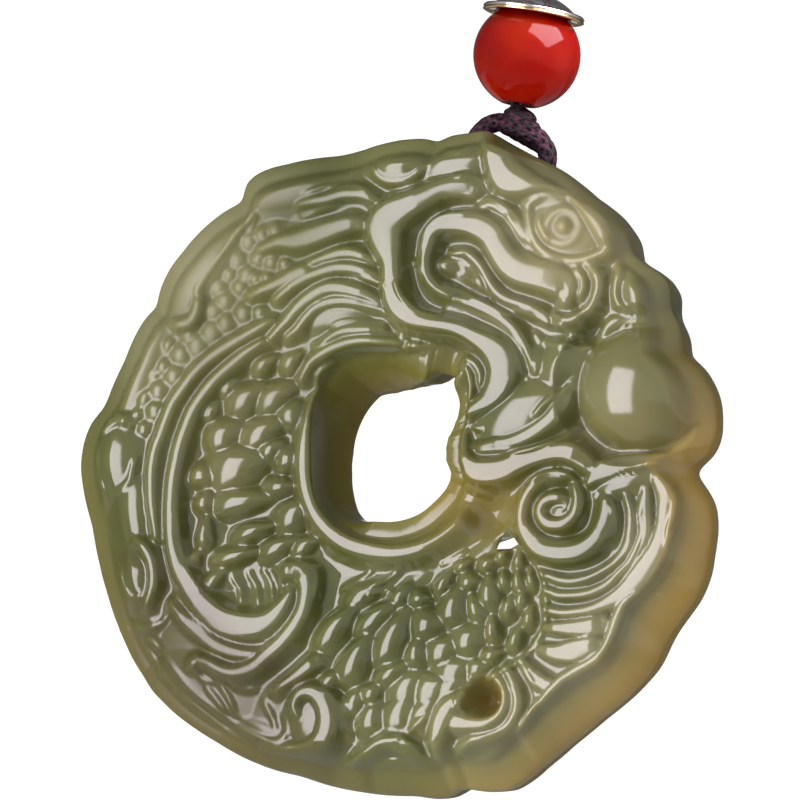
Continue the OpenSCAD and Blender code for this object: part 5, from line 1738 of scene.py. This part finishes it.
@dataclass(frozen=True)
class BeadAndCap:
    """The drilled bead and the dished cap on its shoulder, in mm.

    Attributes:
        bore_r: Radius of the bead's bore.
        lip: Width of the rounded lip at the bore's ends.
        lip_points: How the lip's points lie out from the bore and in from the bead's end.
        bead_points: Points of the bead's profile from one lip to the other.
        cap_d: Diameter of the cap.
        cap_hole: How much wider the cap's hole is than the bore.
        cap_points: Points over each side of the cap's dish.
        rim_rise: Height of the cap's rim, as a share of the bead's radius.
        rim_points: Profile of the silver rim, out to the cap's edge and up from its foot.
        gold_points: Profile of the gold lip in the same measures.
        gold_in: Room between the gold lip and the bead, and height of its inner edges.
    """

    bore_r: float = 1.4
    lip: float = 0.16
    lip_points: Table = ((0.05, 0.02), (0.0, 0.12))
    bead_points: int = 72
    cap_d: float = 8.6
    cap_hole: float = 0.2
    cap_points: int = 16
    rim_rise: float = 0.72
    rim_points: Table = ((-0.35, 0.6), (-0.12, 0.54), (0.0, 0.372), (-0.08, 0.26), (-0.3, 0.22))
    gold_points: Table = ((-0.15, 0.0), (0.0, 0.08), (-0.04, 0.2), (-0.3, 0.2))
    gold_in: Triple = (0.02, 0.02, 0.2)

    def bead(self, finish: Material) -> Object:
        """Builds the bead with rounded lips at its bore.

        Args:
            finish: The agate's material.

        Returns:
            The bead, riding on the cord's body.
        """
        r = HANG.bead_d / 2
        reach = math.acos((self.bore_r + self.lip) / r)
        top = r * math.sin(reach)
        lip = [(self.bore_r + out, top - down) for out, down in self.lip_points]
        profile = arc(r, -reach, reach, self.bead_points) + lip + [(out, -z) for out, z in reversed(lip)]
        obj = lathe("agate_bead", profile)
        obj.data.materials.append(finish)
        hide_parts("red_bead")
        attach(obj, Body.CORD.value)
        return obj

    def cap(self, silver: Material, gold: Material) -> list[Object]:
        """Builds the cap: a silver dish and rim, and a gold lip under it.

        Args:
            silver: Material of the dish.
            gold: Material of the lip.

        Returns:
            The dish and the lip, riding on the cord's body.
        """
        inner, t = HANG.bead_d / 2 + HANG.gap, HANG.cap_t
        outer, rim_z = inner + t, self.rim_rise * HANG.bead_d / 2
        edge, hole = self.cap_d / 2, self.bore_r + self.cap_hole
        under = arc(inner, math.asin((rim_z + 0.22) / inner), math.acos(hole / inner), self.cap_points)
        over = arc(outer, math.acos(hole / outer), math.asin((rim_z + t + 0.05) / outer), self.cap_points)
        rim, gold_lip = ([(edge + x, rim_z + z) for x, z in points]
                         for points in (self.rim_points, self.gold_points))
        dish = lathe("cap_dish", (under + over + rim)[::-1])
        room, low, high = self.gold_in
        base = math.sqrt(inner ** 2 - rim_z ** 2) + room
        lip = lathe("cap_lip", [(base, rim_z + low), *gold_lip, (base, rim_z + high)])
        for obj, finish in ((dish, silver), (lip, gold)):
            obj.data.materials.append(finish)
            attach(obj, Body.CORD.value)
        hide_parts("bead_cap")
        return [dish, lip]


@dataclass(frozen=True)
class Lamp:
    """A soft box.

    Attributes:
        name: Its name.
        way: Where it stands from the stone: right, up and towards the camera.
        size: Its width and height, m.
        power: Its power, W.
        roll: Its turn about its own line, degrees.
        glossy: Whether it shows in reflections.
    """

    name: str
    way: Triple
    size: Point
    power: float
    roll: float = 0.0
    glossy: bool = True


@dataclass(frozen=True)
class Studio:
    """Camera, floor, backdrop and lights. Lengths are in metres, angles in degrees.

    Attributes:
        azimuth: Camera's turn to the right of the carved face.
        elevation: Camera's height over the face's level.
        distance: Camera's distance from the stone.
        width: Width of the view at the stone.
        sensor: Width of the camera's sensor, mm.
        clip: Nearest and farthest that the camera sees.
        centre: The view's middle, to the right of and above the hole's, mm.
        lamps: A soft box left of the camera, one high on the right, and a dull fill for the bead.
        reach: The lamps' distance from the stone.
        tone: The lamps' colour.
        back: Brightness of the air all round.
        dim: Brightness of the air behind the camera.
        white: Brightness of the air behind the pendant.
        side: Brightness added on the right.
        floor_z: Height of the floor.
        floor_size: Half the floor's side.
        pale: The floor's lightness, and its roughness.
    """

    azimuth: float = 20.0
    elevation: float = -8.0
    distance: float = 0.70
    width: float = 800 / 12 * MM
    sensor: float = 36.0
    clip: Point = (0.01, 20.0)
    centre: Point = (-4.0 / 12, 56.0 / 12)
    lamps: tuple[Lamp, ...] = (
        Lamp("left_box", (-0.72, 0.04, 0.69), (0.36, 0.62), 5.0),
        Lamp("high_box", (0.58, 0.74, 0.34), (0.44, 0.44), 7.5, roll=32.0),
        Lamp("bead_fill", (-0.5, -0.45, 0.75), (0.30, 0.30), 3.0, glossy=False),
    )
    reach: float = 0.45
    tone: Colour = (0.98, 0.91, 0.99)
    back: float = 0.11
    dim: float = 0.48
    white: float = 1.1
    side: float = 0.36
    floor_z: float = -1.5
    floor_size: float = 4.0
    pale: float = 0.9

    def axes(self) -> tuple[Vector, Vector, Vector]:
        """Right, up and towards the camera, in the row frame."""
        az, el = math.radians(self.azimuth), math.radians(self.elevation)
        turn = HANG.stone_matrix().to_3x3().normalized()
        towards = turn @ Vector((math.sin(az) * math.cos(el), -math.cos(az) * math.cos(el), math.sin(el)))
        right = turn @ Vector((math.cos(az), math.sin(az), 0))
        return right, towards.cross(right), towards

    def build(self) -> None:
        """Sets up the whole studio."""
        right, up, towards = self.axes()
        target = HANG.stone_matrix().translation + (right * self.centre[0] + up * self.centre[1]) * MM
        data = bpy.data.cameras.new("camera")
        data.sensor_width = self.sensor
        data.lens = self.sensor * self.distance / self.width
        data.clip_start, data.clip_end = self.clip
        cam = new_object("camera", data)
        turn = Matrix((right, up, towards)).transposed().to_4x4()
        cam.matrix_world = Matrix.Translation(target + towards * self.distance) @ turn
        bpy.context.scene.camera = cam
        self._floor()
        self._air()
        for lamp in self.lamps:
            self._light(lamp, target)

    def _floor(self) -> None:
        """Plain pale floor under the hanging pendant."""
        bm = bmesh.new()
        place = Matrix.Translation((0, 0, self.floor_z))
        bmesh.ops.create_grid(bm, x_segments=1, y_segments=1, size=self.floor_size, matrix=place)
        floor = bmesh_object("floor", bm)
        mat = bpy.data.materials.new("pale_floor")
        mat.use_nodes = True
        feed(mat.node_tree, mat.node_tree.nodes["Principled BSDF"],
             {"Base Color": (self.pale, self.pale, self.pale, 1), "Roughness": self.pale})
        floor.data.materials.append(mat)

    def _air(self) -> None:
        """White air behind the pendant, dimmer round the rest of the studio."""
        world = bpy.data.worlds.new("studio_air")
        world.use_nodes = True
        tree = world.node_tree
        coords = add_node(tree, "ShaderNodeTexCoord", {})
        right, _, towards = self.axes()
        total = self.back
        for way, low, high, gain in ((-towards, 0.992, 0.9965, self.white - self.back),
                                     (towards, -0.7, 0.1, self.dim - self.back),
                                     (0.8 * right + 0.6 * towards, 0.1, 1.0, self.side)):
            dot = add_node(tree, "ShaderNodeVectorMath", {0: coords.outputs["Generated"], 1: way},
                           operation="DOT_PRODUCT")
            span = add_node(tree, "ShaderNodeMapRange", {"Value": dot.outputs["Value"], "From Min": low,
                                                         "From Max": high, "To Max": gain},
                            interpolation_type="SMOOTHSTEP")
            total = add_maths(tree, "ADD", span.outputs["Result"], total)
        feed(tree, tree.nodes["Background"], {"Strength": total, "Color": (1, 1, 1, 1)})
        bpy.context.scene.world = world
        bpy.context.scene.view_settings.view_transform = "Standard"

    def _light(self, lamp: Lamp, target: Vector) -> None:
        """Sets up one lamp.

        Args:
            lamp: The lamp.
            target: What it is aimed at, in the row frame.
        """
        data = bpy.data.lights.new(lamp.name, "AREA")
        data.shape = "RECTANGLE"
        data.size, data.size_y = lamp.size
        data.energy = lamp.power
        data.color = self.tone
        light = new_object(lamp.name, data)
        way = sum((axis * part for axis, part in zip(self.axes(), lamp.way)), Vector()).normalized()
        light.location = target + way * self.reach
        light.rotation_euler = way.to_track_quat("Z", "Y").to_euler()
        light.rotation_euler.rotate_axis("Z", math.radians(lamp.roll))
        light.visible_glossy = lamp.glossy

    @staticmethod
    def aim(name: str, piece: Object, state: str) -> None:
        """Keeps one lamp off one piece, as a flag in front of the lamp does, or off all but that piece.

        Args:
            name: The lamp's name.
            piece: The piece.
            state: "EXCLUDE" to leave the piece unlit, "INCLUDE" to light it alone.
        """
        group = bpy.data.collections.new(f"{name}_flag")
        bpy.data.objects[name].light_linking.receiver_collection = group
        group.objects.link(piece)
        group.collection_objects[0].light_linking.link_state = state


def main() -> None:
    """Builds the pendant's looks in order and reports each piece."""
    logging.basicConfig(level=logging.INFO, format="%(message)s")
    Studio().build()
    tools = Toolbox()
    pieces = CordWork().build(CordFinish().build(tools))
    stone = Stone().build(JadeFinish().build(tools))
    trims = BeadAndCap()
    bead = trims.bead(BeadFinish().build(tools))
    pieces += [stone, bead]
    Studio.aim("left_box", bead, "EXCLUDE")
    Studio.aim("high_box", stone, "EXCLUDE")
    Studio.aim("bead_fill", bead, "INCLUDE")
    silver = CapFinish("polished_silver", (0.80, 0.79, 0.77), (0.62, 0.60, 0.58)).build(tools)
    gold = CapFinish("gold_lip", (0.90, 0.66, 0.34), (0.74, 0.50, 0.24)).build(tools)
    pieces += trims.cap(silver, gold)
    for piece in pieces:
        LOG.info("%s: %d faces", piece.name, len(piece.data.polygons))


if __name__ == "__main__":
    main()
